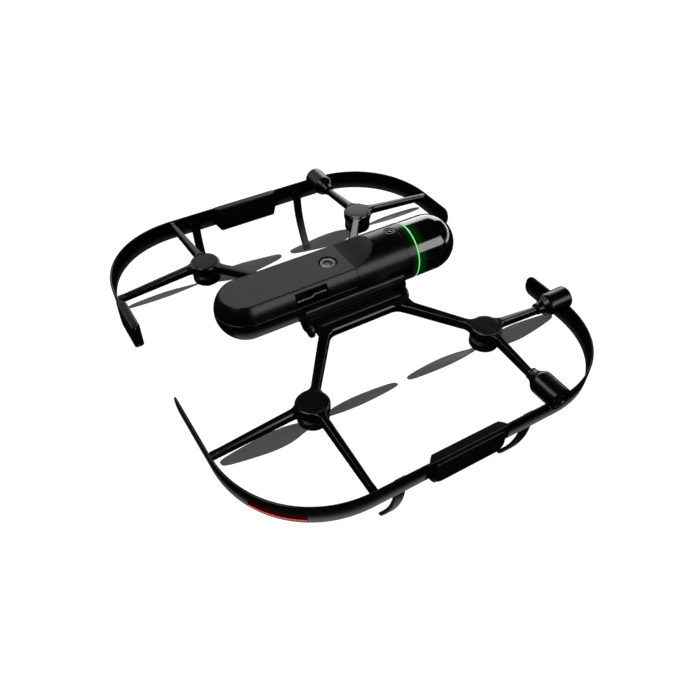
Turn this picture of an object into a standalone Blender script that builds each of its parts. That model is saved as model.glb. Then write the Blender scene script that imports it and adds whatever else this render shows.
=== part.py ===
"""Folding indoor mapping drone.

X to the right wing, Y to the nose dome, Z up, metres.  The origin is on the
ground, under the middle of the plan.  Design coordinates below are measured
from the plane of the hub tops and from the point midway between the motors;
OFFSET turns them into world coordinates.
"""
import bpy
import bmesh
import math
from mathutils import Vector, Matrix

# ---------------------------------------------------------------- dimensions
GAP = 0.0003            # clearance between neighbouring pieces

HUB_X, HUB_Y = 0.158, 0.1276    # motor axes
HUB_R = 0.0210          # hub boss radius
HUB_DEPTH = 0.0120      # hub and arm depth
CAP_R = 0.0180          # inset hub cap

HINGE_X, HINGE_Z = 0.0465, -0.0030   # wing hinge axis
HINGE_R = 0.0060        # hinge barrel and ear radius
PIN_R = 0.0022
EAR_REAR = (-0.0630, -0.0560)
EAR_FRONT = (0.0685, 0.0740)
CAP_PLATE_REAR = (-0.0710, -0.0660)
CAP_PLATE_FRONT = (0.0745, 0.0785)
ROOT_RISE = 0.0030      # wing root plate above the hub tops
PLATE_OUT_X = 0.0665    # outer edge of the root plate
ARM_SLOPE = 0.746       # dy/dx of both arms, through the hub centres
ARM_HALF_ROOT, ARM_HALF_HUB = 0.0074, 0.0058
STRUT_HALF_HUB, STRUT_HALF_END = 0.0052, 0.0040
STRUT_DROP = 0.0116     # fall of the strut's top from hub to guard

GUARD_X = 0.2935        # guard centre line, sides
GUARD_Y_FRONT, GUARD_Y_REAR = 0.2566, 0.2576
GUARD_T = 0.0026        # band thickness
GUARD_SLANT = 0.0018    # the band's top stands this much further out than its bottom
GUARD_TOP, GUARD_BOTTOM = -0.0105, -0.0400
GUARD_TIP_FRONT = 0.0940
GUARD_TIP_REAR_RIGHT = 0.0490
GUARD_END_REAR_LEFT = 0.1530
REAR_RADAR_END = 0.0800
SEAM_FRONT, SEAM_REAR = 0.0550, -0.0625
CORNER_N = 2.11         # corner is a superellipse

POD_Z = -0.0110
POD_R = 0.0157
POD_START, POD_END = 0.2485, 0.2975     # side pods, along X
FPOD_START, FPOD_END = 0.2170, 0.2650   # front pod, along Y

BODY_Z = 0.0290
BODY_R = 0.0396
BODY_WALL = 0.0024
BODY_REAR_C = -0.1350   # centre of the tail hemisphere
BODY_FRONT = 0.0885
COLLAR = (0.0888, 0.1025)
RING = (0.1028, 0.1054)
DOME = (0.1057, 0.1415)
DOME_R = 0.0394
FLAT_Z = 0.0546         # flat top
BATTERY_FRONT = 0.0092
BATTERY_SPLIT = 0.0330
BUTTON_Y = -0.0150
TOP_CAM_Y = 0.0815

GROUND = 0.1210         # hub tops above the ground
LEG_TIP_X = 0.2600
LEG_Y_FRONT, LEG_Y_REAR = 0.0890, -0.0920
PROP_R = 0.1200
PROP_Z = -0.0350

REAR_FACE = -(GUARD_Y_REAR + 0.0056)   # outside of the rear radar
OFFSET = Vector((0.0, -(FPOD_END + REAR_FACE) / 2.0, GROUND))

# ---------------------------------------------------------------- scene
for ob in list(bpy.data.objects):
    bpy.data.objects.remove(ob, do_unlink=True)
for co in list(bpy.data.collections):
    bpy.data.collections.remove(co)

PARTS = bpy.data.collections.new("mapping_drone")
CUTTERS = bpy.data.collections.new("cutters")
bpy.context.scene.collection.children.link(PARTS)
bpy.context.scene.collection.children.link(CUTTERS)


def material(name, rgb, rough, metal=0.0, alpha=1.0, glow=0.0):
    mat = bpy.data.materials.new(name)
    mat.use_nodes = True
    bsdf = mat.node_tree.nodes["Principled BSDF"]
    bsdf.inputs["Base Color"].default_value = (*rgb, 1.0)
    bsdf.inputs["Roughness"].default_value = rough
    bsdf.inputs["Metallic"].default_value = metal
    bsdf.inputs["Alpha"].default_value = alpha
    if glow:
        bsdf.inputs["Emission Color"].default_value = (*rgb, 1.0)
        bsdf.inputs["Emission Strength"].default_value = glow
    return mat


BLACK = material("satin_black", (0.012, 0.012, 0.013), 0.42)
FRAME = material("frame_black", (0.016, 0.016, 0.016), 0.45)
TOPGREY = material("matte_dark_grey", (0.035, 0.034, 0.033), 0.55)
SMOKE = material("smoked_glass", (0.01, 0.012, 0.01), 0.05, 0.0, 0.45)
GREEN = material("green_light", (0.25, 1.0, 0.35), 0.3, 0.0, 1.0, 4.0)
RED = material("red_light", (1.0, 0.05, 0.04), 0.3, 0.0, 1.0, 3.0)
ALU = material("aluminium", (0.45, 0.45, 0.46), 0.35, 1.0)
DARKALU = material("dark_aluminium", (0.05, 0.05, 0.055), 0.4, 0.8)
STEEL = material("steel", (0.5, 0.5, 0.5), 0.3, 1.0)
BOARD = material("board_green", (0.02, 0.12, 0.05), 0.5)
CELL = material("cell_grey", (0.12, 0.13, 0.15), 0.5)
LENS = material("lens_glass", (0.01, 0.01, 0.02), 0.03)
RINGMETAL = material("ring_metal", (0.35, 0.35, 0.36), 0.25, 0.9)
PROPMAT = material("prop_plastic", (0.02, 0.02, 0.02), 0.4)
MIRROR = material("mirror", (0.8, 0.8, 0.82), 0.05, 1.0)


def put(name, mesh, mat, pivot=(0, 0, 0), cutter=False, smooth=30.0):
    """Object from a mesh in design coordinates, with its origin on pivot."""
    p = Vector(pivot)
    mesh.transform(Matrix.Translation(-p))
    ob = bpy.data.objects.new(name, mesh)
    ob.location = p + OFFSET
    (CUTTERS if cutter else PARTS).objects.link(ob)
    if cutter:
        ob.hide_render = True
        ob.display_type = 'WIRE'
    else:
        mesh.materials.append(mat)
        mesh.shade_smooth()
        mesh.set_sharp_from_angle(angle=math.radians(smooth))
    return ob


def to_mesh(bm, name):
    bmesh.ops.recalc_face_normals(bm, faces=bm.faces)
    me = bpy.data.meshes.new(name)
    bm.to_mesh(me)
    bm.free()
    return me


AXES = {
    "Z": (0.0, 0.0, 0.0),
    "-Z": (math.pi, 0.0, 0.0),
    "Y": (-math.pi / 2, 0.0, 0.0),
    "X": (0.0, math.pi / 2, 0.0),
    "-X": (0.0, -math.pi / 2, 0.0),
}


def turned(name, profile, at, axis, mat=None, steps=24, cutter=False, closed=False):
    """A profile of (radius, height) run down its outer side, turned by Screw."""
    me = bpy.data.meshes.new(name)
    pts = [(r, 0.0, h) for r, h in profile]
    n = len(pts)
    edges = [(i, i + 1) for i in range(n - 1)]
    if closed:
        edges.append((n - 1, 0))
    me.from_pydata(pts, edges, [])
    ob = bpy.data.objects.new(name, me)
    ob.location = Vector(at) + OFFSET
    ob.rotation_euler = AXES[axis]
    (CUTTERS if cutter else PARTS).objects.link(ob)
    sc = ob.modifiers.new("Screw", 'SCREW')
    sc.axis = 'Z'
    sc.angle = 2 * math.pi
    sc.steps = steps
    sc.render_steps = steps
    sc.use_merge_vertices = True
    sc.merge_threshold = 0.00002
    sc.use_smooth_shade = True
    if cutter:
        ob.hide_render = True
        ob.display_type = 'WIRE'
    else:
        me.materials.append(mat)
    return ob


def rod(r, h0, h1):
    """Profile of a plain cylinder between two heights."""
    return [(0.0, h1), (r, h1), (r, h0), (0.0, h0)]


def round_rod(r, h0, h1, f0, f1):
    """Cylinder profile with 45 degree broken edges f0 (low end), f1 (high end)."""
    pts = [(0.0, h1)]
    pts += [(r - f1, h1), (r, h1 - f1)] if f1 else [(r, h1)]
    pts += [(r, h0 + f0), (r - f0, h0)] if f0 else [(r, h0)]
    return pts + [(0.0, h0)]


def boolean(ob, cutter, op='DIFFERENCE'):
    m = ob.modifiers.new(op.lower(), 'BOOLEAN')
    m.operation = op
    m.solver = 'EXACT'
    m.object = cutter
    return m


def bevel(ob, width, segments=1, angle=40.0):
    m = ob.modifiers.new("Bevel", 'BEVEL')
    m.width = width
    m.segments = segments
    m.limit_method = 'ANGLE'
    m.angle_limit = math.radians(angle)
    m.use_clamp_overlap = True
    return m


def box_mesh(name, lo, hi):
    bm = bmesh.new()
    bmesh.ops.create_cube(bm, size=1.0)
    lo, hi = Vector(lo), Vector(hi)
    size = hi - lo
    bmesh.ops.scale(bm, vec=size, verts=bm.verts)
    bmesh.ops.translate(bm, vec=(lo + hi) / 2, verts=bm.verts)
    return to_mesh(bm, name)


def box(name, lo, hi, mat=None, cutter=False, pivot=(0, 0, 0)):
    return put(name, box_mesh(name, lo, hi), mat, pivot, cutter)


def plane_point(plane, u, v, w):
    """(u, v) in the outline's plane, w along its normal."""
    return {"XY": (u, v, w), "XZ": (u, w, v), "YZ": (w, u, v)}[plane]


def prism_mesh(name, outline, w0, w1, plane="XY", flip=1.0, shape=None, cuts=()):
    """Flat outline given a thickness; shape(co, top) may move its points.

    cuts are (axis, position) planes that get a row of points first."""
    bm = bmesh.new()
    vs = [bm.verts.new(plane_point(plane, u, v, w0)) for u, v in outline]
    face = bm.faces.new(vs)
    face.normal_update()
    bmesh.ops.triangulate(bm, faces=[face], ngon_method='BEAUTY')
    for axis, at in cuts:
        no = Vector([1.0 if i == axis else 0.0 for i in range(3)])
        bmesh.ops.bisect_plane(bm, geom=bm.verts[:] + bm.edges[:] + bm.faces[:], dist=1e-6, plane_co=no * at, plane_no=no)
    ext = bmesh.ops.extrude_face_region(bm, geom=bm.faces[:])
    top = [g for g in ext["geom"] if isinstance(g, bmesh.types.BMVert)]
    step = Vector(plane_point(plane, 0.0, 0.0, w1 - w0))
    bmesh.ops.translate(bm, vec=step, verts=top)
    if shape:
        tops = set(top)
        for v in bm.verts:
            v.co = shape(v.co.copy(), v in tops)
    if flip < 0:
        for v in bm.verts:
            v.co.x = -v.co.x
    return to_mesh(bm, name)


def arc(cx, cy, r, a0, a1, n):
    """n+1 points on an arc, angles in degrees."""
    return [(cx + r * math.cos(math.radians(a0 + (a1 - a0) * i / n)),
             cy + r * math.sin(math.radians(a0 + (a1 - a0) * i / n)))
            for i in range(n + 1)]


def clamp(t, lo=0.0, hi=1.0):
    return max(lo, min(hi, t))


# ---------------------------------------------------------------- wing frame
def rot(p, deg):
    c, s = math.cos(math.radians(deg)), math.sin(math.radians(deg))
    return (c * p[0] - s * p[1], s * p[0] + c * p[1])


def fillet_points(half, rf, left, n=3):
    """Fillet between a limb's edge and the hub circle, in the limb's frame.

    Runs from the edge to the hub on the left side, from the hub to the edge
    on the right side."""
    cy = half + rf
    cx = math.sqrt((HUB_R + rf) ** 2 - cy ** 2)
    a_hub = math.degrees(math.atan2(-cy, -cx))      # towards the hub centre
    pts = arc(cx, cy, rf, -90.0, a_hub, n)
    if left:
        return pts
    return [(x, -y) for x, y in pts][::-1]


def hub_between(centre, ang_a, half_a, ang_b, half_b, rf=0.007, n=4):
    """Outline round a hub, counterclockwise from limb a to limb b."""
    out = [rot(p, ang_a) for p in fillet_points(half_a, rf, True)]
    b = [rot(p, ang_b) for p in fillet_points(half_b, rf, False)]
    t0 = math.degrees(math.atan2(out[-1][1], out[-1][0]))
    t1 = math.degrees(math.atan2(b[0][1], b[0][0]))
    while t1 < t0:
        t1 += 360.0
    out += arc(0, 0, HUB_R, t0, t1, max(2, int((t1 - t0) / 15.0)))[1:-1]
    out += b
    return [(centre[0] + x, centre[1] + y) for x, y in out]


def strut_end(centre, ang, length):
    """Outline across a strut's free end."""
    pts = [rot((length, -STRUT_HALF_END), ang), rot((length, STRUT_HALF_END), ang)]
    return [(centre[0] + x, centre[1] + y) for x, y in pts]


ARM_DEG = math.degrees(math.atan(ARM_SLOPE))


def wing_outline(front_x_end, front_y_end):
    """Plan of the right wing frame, counterclockwise."""
    cr, cf = (HUB_X, -HUB_Y), (HUB_X, HUB_Y)
    a_r, a_f = 180.0 - ARM_DEG, 180.0 + ARM_DEG
    ah, sh = ARM_HALF_HUB, STRUT_HALF_HUB
    side_end = GUARD_X - GUARD_T / 2 - GAP - HUB_X
    rear_end = GUARD_Y_REAR - GUARD_T / 2 - GAP - HUB_Y
    k = math.cos(math.radians(ARM_DEG))

    def arm_edge(x, sign_y, side):
        """Point on an arm's edge at the root; side +1 outside, -1 inside."""
        y = HUB_Y - ARM_SLOPE * (HUB_X - x)
        return (x, sign_y * (y + side * ARM_HALF_ROOT / k))

    pts = [(HINGE_X, EAR_REAR[0])]
    pts += [(0.0585, EAR_REAR[0]), (0.0630, EAR_REAR[0] - 0.0010)]
    pts += [arm_edge(0.0705, -1, 1)]
    pts += hub_between(cr, a_r, ah, 270.0, sh)
    pts += strut_end(cr, 270.0, rear_end)
    pts += hub_between(cr, 270.0, sh, 360.0, sh)
    pts += strut_end(cr, 0.0, side_end)
    pts += hub_between(cr, 0.0, sh, a_r, ah)
    # inside edge of the rear arm, rounded into the plate
    inner = []
    y_c = HUB_Y - ARM_SLOPE * (HUB_X - PLATE_OUT_X) - ARM_HALF_ROOT / k
    inner.append(arm_edge(PLATE_OUT_X + 0.0085, -1, -1))
    inner.append((PLATE_OUT_X + 0.0050, -(y_c + 0.0023)))
    inner.append((PLATE_OUT_X + 0.0023, -(y_c - 0.0012)))
    inner.append((PLATE_OUT_X + 0.0007, -(y_c - 0.0052)))
    inner.append((PLATE_OUT_X, -(y_c - 0.0100)))
    pts += inner
    pts += [(x, -y) for x, y in inner][::-1]
    pts += hub_between(cf, a_f, ah, 360.0, sh)
    pts += strut_end(cf, 0.0, front_x_end - HUB_X)
    pts += hub_between(cf, 0.0, sh, 90.0, sh)
    pts += strut_end(cf, 90.0, front_y_end - HUB_Y)
    pts += hub_between(cf, 90.0, sh, a_f, ah)
    pts += [arm_edge(0.0790, 1, 1), (0.0715, EAR_FRONT[1] + 0.0014), (0.0640, EAR_FRONT[1] + 0.0003), (0.0590, EAR_FRONT[1])]
    pts += [(HINGE_X, EAR_FRONT[1])]
    return pts


def wing_shape(co, top):
    """Heights of the frame: root plate raised, struts falling to the guard."""
    x, y = co.x, co.y
    ay = abs(y)
    dx, dy = x - HUB_X, ay - HUB_Y
    if dx > 0.0 and abs(dy) < 0.012 and dx > 0.024:
        t = (dx - 0.024) / 0.108
        z_top, z_bot = -STRUT_DROP * t, -HUB_DEPTH - 0.0095 * t
    elif dy > 0.024 and abs(dx) < 0.012:
        t = (dy - 0.024) / 0.105
        z_top, z_bot = -STRUT_DROP * t, -HUB_DEPTH - 0.0095 * t
    else:
        t = clamp((0.135 - x) / 0.055)
        z_top, z_bot = ROOT_RISE * t, -HUB_DEPTH + ROOT_RISE * t
    return Vector((x, y, z_top if top else z_bot))


def build_wing(side, tag):
    if side > 0:
        fx, fy = POD_START - GAP, FPOD_START - GAP
    else:
        fx, fy = POD_START - GAP, GUARD_Y_FRONT - GUARD_T / 2 - GAP
    reach = 0.0240
    me = prism_mesh("wing_frame_" + tag, wing_outline(fx, fy), 0.0, 1.0, "XY", side, wing_shape,
                    [(0, 0.080), (0, 0.135), (0, HUB_X + reach), (1, HUB_Y + reach), (1, -HUB_Y - reach)])
    pivot = (side * HINGE_X, 0.0, HINGE_Z)
    ob = put("wing_frame_" + tag, me, FRAME, pivot)
    hx = side * HINGE_X
    for fr, sy in (("front", 1), ("rear", -1)):
        rec = turned("cap_recess_%s_%s" % (fr, tag), rod(CAP_R + GAP, -0.0016, 0.002),
                     (side * HUB_X, sy * HUB_Y, 0), "Z", steps=20, cutter=True)
        boolean(ob, rec)
        name = "hub_cap_%s_%s" % (fr, tag)
        turned(name, round_rod(CAP_R, -0.0013, -0.0001, 0, 0.0003), (side * HUB_X, sy * HUB_Y, 0), "Z", TOPGREY, 20)
    for i, (y0, y1) in enumerate(((EAR_REAR[0] + 0.0005, EAR_REAR[1] + 0.001), (EAR_FRONT[0] - 0.001, EAR_FRONT[1] - 0.0005))):
        ear = turned("ear_%d_%s" % (i, tag), rod(HINGE_R - 0.0004, y0, y1), (hx, 0, HINGE_Z), "Y", steps=12, cutter=True)
        boolean(ob, ear, 'UNION')
    cut = turned("barrel_room_" + tag, rod(HINGE_R + 0.0004, EAR_REAR[1], EAR_FRONT[0]),
                 (hx, 0, HINGE_Z), "Y", steps=16, cutter=True)
    boolean(ob, cut)
    bore = turned("ear_bore_" + tag, rod(PIN_R + GAP, EAR_REAR[0] - 0.002, EAR_FRONT[1] + 0.002),
                  (hx, 0, HINGE_Z), "Y", steps=12, cutter=True)
    boolean(ob, bore)
    return ob


# ---------------------------------------------------------------- guards
def guard_path(tip, seam, y_line):
    """Plan points from the tip, round the corner, to the seam (right, +Y)."""
    b = y_line - HUB_Y
    a = GUARD_X - HUB_X
    pts = []
    m = 6
    for i in range(m):
        pts.append((tip + (HUB_X - tip) * i / m, y_line))
    n = 20
    for i in range(n + 1):
        t = math.radians(90.0 * (1.0 - i / n))
        c, s = math.cos(t), math.sin(t)
        pts.append((HUB_X + a * math.copysign(abs(c) ** (2 / CORNER_N), c),
                    HUB_Y + b * math.copysign(abs(s) ** (2 / CORNER_N), s)))
    pts.append((GUARD_X, (HUB_Y + seam) / 2))
    pts.append((GUARD_X, seam))
    return pts


def along(path, s):
    """Point at arc length s, measured along the polyline path."""
    for (x0, y0), (x1, y1) in zip(path, path[1:]):
        d = math.hypot(x1 - x0, y1 - y0)
        if s <= d:
            return (x0 + (x1 - x0) * s / d, y0 + (y1 - y0) * s / d)
        s -= d
    return path[-1]


def outward(path, s):
    """Unit normal of the path at s, pointing away from the motor axis."""
    x0, y0 = along(path, max(0.0, s - 0.002))
    x1, y1 = along(path, s + 0.002)
    tx, ty = x1 - x0, y1 - y0
    d = math.hypot(tx, ty)
    return (-ty / d, tx / d) if tx < 0 else (abs(ty) / d, abs(tx) / d)


def path_length(path):
    return sum(math.hypot(b[0] - a[0], b[1] - a[1]) for a, b in zip(path, path[1:]))


def guard_sheet(name, side, sy, tip, seam, y_line, round_tip=0.011, cols=24):
    """Upright band whose tip has rounded corners, as an open sheet."""
    path = guard_path(tip, seam, y_line)
    length = path_length(path)
    half = (GUARD_TOP - GUARD_BOTTOM) / 2
    mid = (GUARD_TOP + GUARD_BOTTOM) / 2
    if round_tip:
        rows = [-half, -half + 0.35 * round_tip, half - 0.35 * round_tip, half]
    else:
        rows = [-half, half]
    bm = bmesh.new()
    grid = []
    for h in rows:
        start = 0.0
        if round_tip:
            over = max(0.0, abs(h) - (half - round_tip))
            start = round_tip - math.sqrt(max(0.0, round_tip ** 2 - over ** 2))
        line = []
        lean = GUARD_SLANT / 2 * h / half
        for i in range(cols + 1):
            u = (i / cols) ** 1.15 if round_tip else i / cols
            s = start + (length - start) * u
            x, y = along(path, s)
            nx, ny = outward(path, s)
            line.append(bm.verts.new((side * (x + nx * lean), sy * (y + ny * lean), mid + h)))
        grid.append(line)
    for a, b in zip(grid, grid[1:]):
        for i in range(cols):
            bm.faces.new((a[i], a[i + 1], b[i + 1], b[i]))
    me = to_mesh(bm, name)
    return me


def guard(side, sy, tag, pods):
    fr = "front" if sy > 0 else "rear"
    name = "guard_%s_%s" % (fr, tag)
    if sy > 0:
        tip, seam, yl, rt = GUARD_TIP_FRONT, SEAM_FRONT, GUARD_Y_FRONT, 0.011
    else:
        seam, yl = -SEAM_REAR, GUARD_Y_REAR
        tip, rt = (GUARD_TIP_REAR_RIGHT, 0.011) if side > 0 else (GUARD_END_REAR_LEFT, 0.0)
    ob = put(name, guard_sheet(name, side, sy, tip, seam, yl, rt), FRAME, (side * HINGE_X, 0, HINGE_Z))
    so = ob.modifiers.new("Solidify", 'SOLIDIFY')
    so.thickness = GUARD_T
    so.offset = 0.0
    for kind in pods:
        if kind == "side":
            c = turned("pod_notch_%s" % name, rod(POD_R + GAP, 0.28, 0.31), (0, HUB_Y, POD_Z), "X" if side > 0 else "-X",
                       steps=20, cutter=True)
        else:
            c = turned("front_notch_%s" % name, rod(POD_R + GAP, 0.245, 0.268), (side * HUB_X, 0, POD_Z), "Y", steps=20, cutter=True)
        boolean(ob, c)
    return ob


# ---------------------------------------------------------------- camera pods
def pod(name, lens_name, at, axis, start, end):
    """Bottle-shaped pod turned about its strut's line, lens in the far face."""
    r = POD_R
    L = end
    prof = [(0.0, L - 0.0030), (0.0112, L - 0.0030), (0.0116, L), (0.0142, L), (r, L - 0.0014), (r, start + 0.0215),
            (0.0146, start + 0.0180), (0.0112, start + 0.0130), (0.0078, start + 0.0085), (0.0056, start + 0.0040),
            (0.0050, start), (0.0, start)]
    turned(name, prof, at, axis, BLACK, 18)
    turned(lens_name, [(0.0, L - 0.0004), (0.0055, L - 0.0007), (0.0106, L - 0.0017), (0.0106, L - 0.0027),
                       (0.0, L - 0.0027)], at, axis, LENS, 16)


# ---------------------------------------------------------------- radar modules
def radar(name, cover_name, lo, hi, stub_lo, stub_hi, centre, along_x, sign, pivot, w_out=0.0030):
    """Module in the guard: a block with chamfered ends, stubs that continue the
    band, and a separate rounded cover outside.  u runs along the band, w out."""
    z0, z1 = GUARD_BOTTOM - 0.0100, GUARD_TOP + 0.0003
    w_in = -0.0085
    half_t = GUARD_T / 2
    c = 0.0065
    outline = [(stub_lo, -half_t), (lo, -half_t), (lo + c, w_in), (hi - c, w_in), (hi, -half_t),
               (stub_hi, -half_t), (stub_hi, half_t), (hi, half_t), (hi - 0.002, w_out),
               (lo + 0.002, w_out), (lo, half_t), (stub_lo, half_t)]

    def shape(co, top):
        u = co.x
        z = co.z
        w = co.y
        if u < lo + 0.0005 or u > hi - 0.0005:
            z = GUARD_TOP if top else GUARD_BOTTOM
            w += GUARD_SLANT / 2 if top else -GUARD_SLANT / 2
        elif u < lo + c + 0.0001 or u > hi - c - 0.0001:
            z = z1 if top else z0 + 0.0045
        else:
            z = z1 if top else z0
        if along_x:
            return Vector((u, centre + sign * w, z))
        return Vector((centre + sign * w, u, z))

    me = prism_mesh(name, outline, z0, z1, "XY", 1.0, shape)
    ob = put(name, me, BLACK, pivot)
    if cover_name:
        zc0, zc1 = z0 + 0.0040, z1 - 0.0030
        r = 0.0100
        u0, u1 = lo + 0.0060, hi - 0.0060
        ring = arc(u1 - r, zc1 - r, r, 90, 0, 4) + arc(u1 - r, zc0 + r, r, 0, -90, 4) \
            + arc(u0 + r, zc0 + r, r, -90, -180, 4) + arc(u0 + r, zc1 - r, r, 180, 90, 4)
        w0, w1 = w_out + GAP, w_out + GAP + 0.0026

        def cshape(co, top):
            u, w, z = co.x, co.y, co.z
            if along_x:
                return Vector((u, centre + sign * w, z))
            return Vector((centre + sign * w, u, z))

        cm = prism_mesh(cover_name, ring, w0, w1, "XZ", 1.0, cshape)
        cob = put(cover_name, cm, BLACK, pivot)
        bevel(cob, 0.0010, 1, 50.0)
    return ob


# ---------------------------------------------------------------- legs
def leg(side, y, tag, fr):
    """Curved strut leg: upright against the band, then bending inwards."""
    x_out = GUARD_X - GUARD_T / 2 - GUARD_SLANT / 2 - GAP
    t = 0.0058
    centre = []
    x0 = x_out - t / 2
    n = 9
    for i in range(n + 1):
        u = i / n
        z = -0.0420 + (-GROUND + 0.0420) * u
        x = x0 + (LEG_TIP_X - x0) * (u ** 1.75)
        centre.append((x, z))
    outer = [(x_out, -0.0185), (x_out, -0.0400)]
    inner = [(x_out - 0.0045, -0.0185), (x_out - 0.0072, -0.0240), (x_out - 0.0072, -0.0330), (x_out - t, -0.0400)]
    for i in range(1, n + 1):
        x, z = centre[i]
        px, pz = centre[i - 1]
        dx, dz = x - px, z - pz
        d = math.hypot(dx, dz)
        nx, nz = -dz / d, dx / d
        h = t / 2 * (1.0 - 0.10 * i / n)
        if i < n:
            outer.append((x + nx * h, z + nz * h))
            inner.append((x - nx * h, z - nz * h))
        else:
            outer.append((x + h * 1.04, -GROUND))
            inner.append((x - h * 1.04, -GROUND))
    outline = outer + inner[::-1]
    name = "leg_%s_%s" % (fr, tag)
    me = prism_mesh(name, outline, y - 0.0050, y + 0.0050, "XZ", side)
    ob = put(name, me, BLACK, (side * HINGE_X, 0, HINGE_Z))
    bevel(ob, 0.0009, 1, 50.0)
    return ob


# ---------------------------------------------------------------- motors
def motor(side, sy, tag, fr):
    at = (side * HUB_X, sy * HUB_Y, 0)
    # fixed stator: mounting flange, wound core and bearing tube
    turned("motor_stator_%s_%s" % (fr, tag),
           [(0.0, -HUB_DEPTH - GAP), (0.0185, -HUB_DEPTH - GAP), (0.0185, -0.0150), (0.0100, -0.0158),
            (0.0100, -0.0260), (0.0042, -0.0260), (0.0042, -0.0275), (0.0, -0.0275)],
           at, "Z", DARKALU, 18)
    # turning bell, open towards the stator
    turned("motor_bell_%s_%s" % (fr, tag),
           [(0.0196, -0.0154), (0.0196, -0.0290), (0.0172, -0.0312), (0.0, -0.0312),
            (0.0, -0.0285), (0.0165, -0.0285), (0.0165, -0.0154)],
           at, "Z", DARKALU, 18, closed=False)
    bell = bpy.data.objects["motor_bell_%s_%s" % (fr, tag)]
    # close the mouth's rim
    me = bell.data
    bm = bmesh.new()
    bm.from_mesh(me)
    bm.verts.ensure_lookup_table()
    bm.edges.new((bm.verts[len(bm.verts) - 1], bm.verts[0]))
    bm.to_mesh(me)
    bm.free()


def blade_mesh(name, hand):
    """Twisted two-sided blade along +Y, lofted from thin curved sections."""
    bm = bmesh.new()
    stations = [(0.006, 0.0100, 30.0, 0.0030), (0.018, 0.0140, 28.0, 0.0026), (0.036, 0.0220, 23.0, 0.0022),
                (0.060, 0.0232, 17.0, 0.0017), (0.088, 0.0180, 12.5, 0.0014), (0.110, 0.0122, 10.0, 0.0011),
                (PROP_R, 0.0050, 9.0, 0.0009)]
    rings = []
    for r, chord, pitch, thick in stations:
        ring = []
        prof = [(-0.42, 0.0), (-0.20, 0.5), (0.10, 0.42), (0.58, 0.04), (0.10, -0.10), (-0.20, -0.30)]
        a = math.radians(pitch) * hand
        for px, pz in prof:
            x, z = px * chord * hand, pz * thick + 0.10 * chord * (0.25 - px * px) * 0.5
            ring.append(bm.verts.new((x * math.cos(a) + z * math.sin(a), r, -x * math.sin(a) + z * math.cos(a))))
        rings.append(ring)
    n = len(rings[0])
    for a, b in zip(rings, rings[1:]):
        for i in range(n):
            bm.faces.new((a[i], a[(i + 1) % n], b[(i + 1) % n], b[i]))
    bm.faces.new(rings[0])
    bm.faces.new(rings[-1])
    bmesh.ops.triangulate(bm, faces=bm.faces[:])
    return to_mesh(bm, name)


def propeller(side, sy, tag, fr):
    name = "propeller_%s_%s" % (fr, tag)
    at = Vector((side * HUB_X, sy * HUB_Y, PROP_Z))
    ob = turned(name, [(0.0, 0.0035), (0.0095, 0.0035), (0.0095, -0.0030), (0.0080, -0.0048),
                       (0.0030, -0.0060), (0.0, -0.0060)], at, "Z", PROPMAT, 14)
    for k in range(2):
        me = blade_mesh("blade_%d_%s" % (k, name), side * sy)
        me.transform(Matrix.Rotation(math.pi * k, 4, 'Z'))
        me.transform(Matrix.Translation(at))
        c = put("blade_%d_%s" % (k, name), me, None, tuple(at), cutter=True)
        boolean(ob, c, 'UNION')


# ---------------------------------------------------------------- tail lights
def tail_light(side, tag):
    """Thin strip that follows the outer face of the rear corner."""
    path = guard_path(0.150, 0.0625, GUARD_Y_REAR)
    total = path_length(path)
    s0 = s1 = None
    best0 = best1 = 1e9
    steps = 400
    for i in range(steps + 1):
        s = total * i / steps
        x, y = along(path, s)
        d0 = abs(x - 0.2250)
        d1 = abs(x - 0.2805)
        if d0 < best0:
            best0, s0 = d0, s
        if d1 < best1 and y > HUB_Y:
            best1, s1 = d1, s
    out = GUARD_T / 2
    bm = bmesh.new()
    cols = 10
    lower, upper = [], []
    for i in range(cols + 1):
        s = s0 + (s1 - s0) * i / cols
        x, y = along(path, s)
        xa, ya = along(path, s - 0.001)
        xb, yb = along(path, s + 0.001)
        tx, ty = xb - xa, yb - ya
        d = math.hypot(tx, ty)
        nx, ny = ty / d, -tx / d
        if nx * (x - HUB_X) + ny * (y - HUB_Y) < 0:
            nx, ny = -nx, -ny
        px, py = x + nx * (out + 0.0004), y + ny * (out + 0.0004)
        lower.append(bm.verts.new((side * px, -py, -0.0335)))
        upper.append(bm.verts.new((side * px, -py, -0.0305)))
    for i in range(cols):
        bm.faces.new((lower[i], lower[i + 1], upper[i + 1], upper[i]))
    me = to_mesh(bm, "tail_light_" + tag)
    ob = put("tail_light_" + tag, me, RED, (side * HINGE_X, 0, HINGE_Z))
    so = ob.modifiers.new("Solidify", 'SOLIDIFY')
    so.thickness = 0.0008
    so.offset = 0.0


# ---------------------------------------------------------------- wings
for side, tag in ((1, "right"), (-1, "left")):
    build_wing(side, tag)
    guard(side, 1, tag, ("side", "front") if side > 0 else ("side",))
    guard(side, -1, tag, ())
    radar("side_radar_" + tag, "side_radar_cover_" + tag, -0.0575, 0.0505, SEAM_REAR + GAP, SEAM_FRONT - GAP,
          side * GUARD_X, False, side, (side * HINGE_X, 0, HINGE_Z))
    leg(side, LEG_Y_FRONT, tag, "front")
    leg(side, LEG_Y_REAR, tag, "rear")
    tail_light(side, tag)
    for sy, fr in ((1, "front"), (-1, "rear")):
        motor(side, sy, tag, fr)
        propeller(side, sy, tag, fr)

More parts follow.
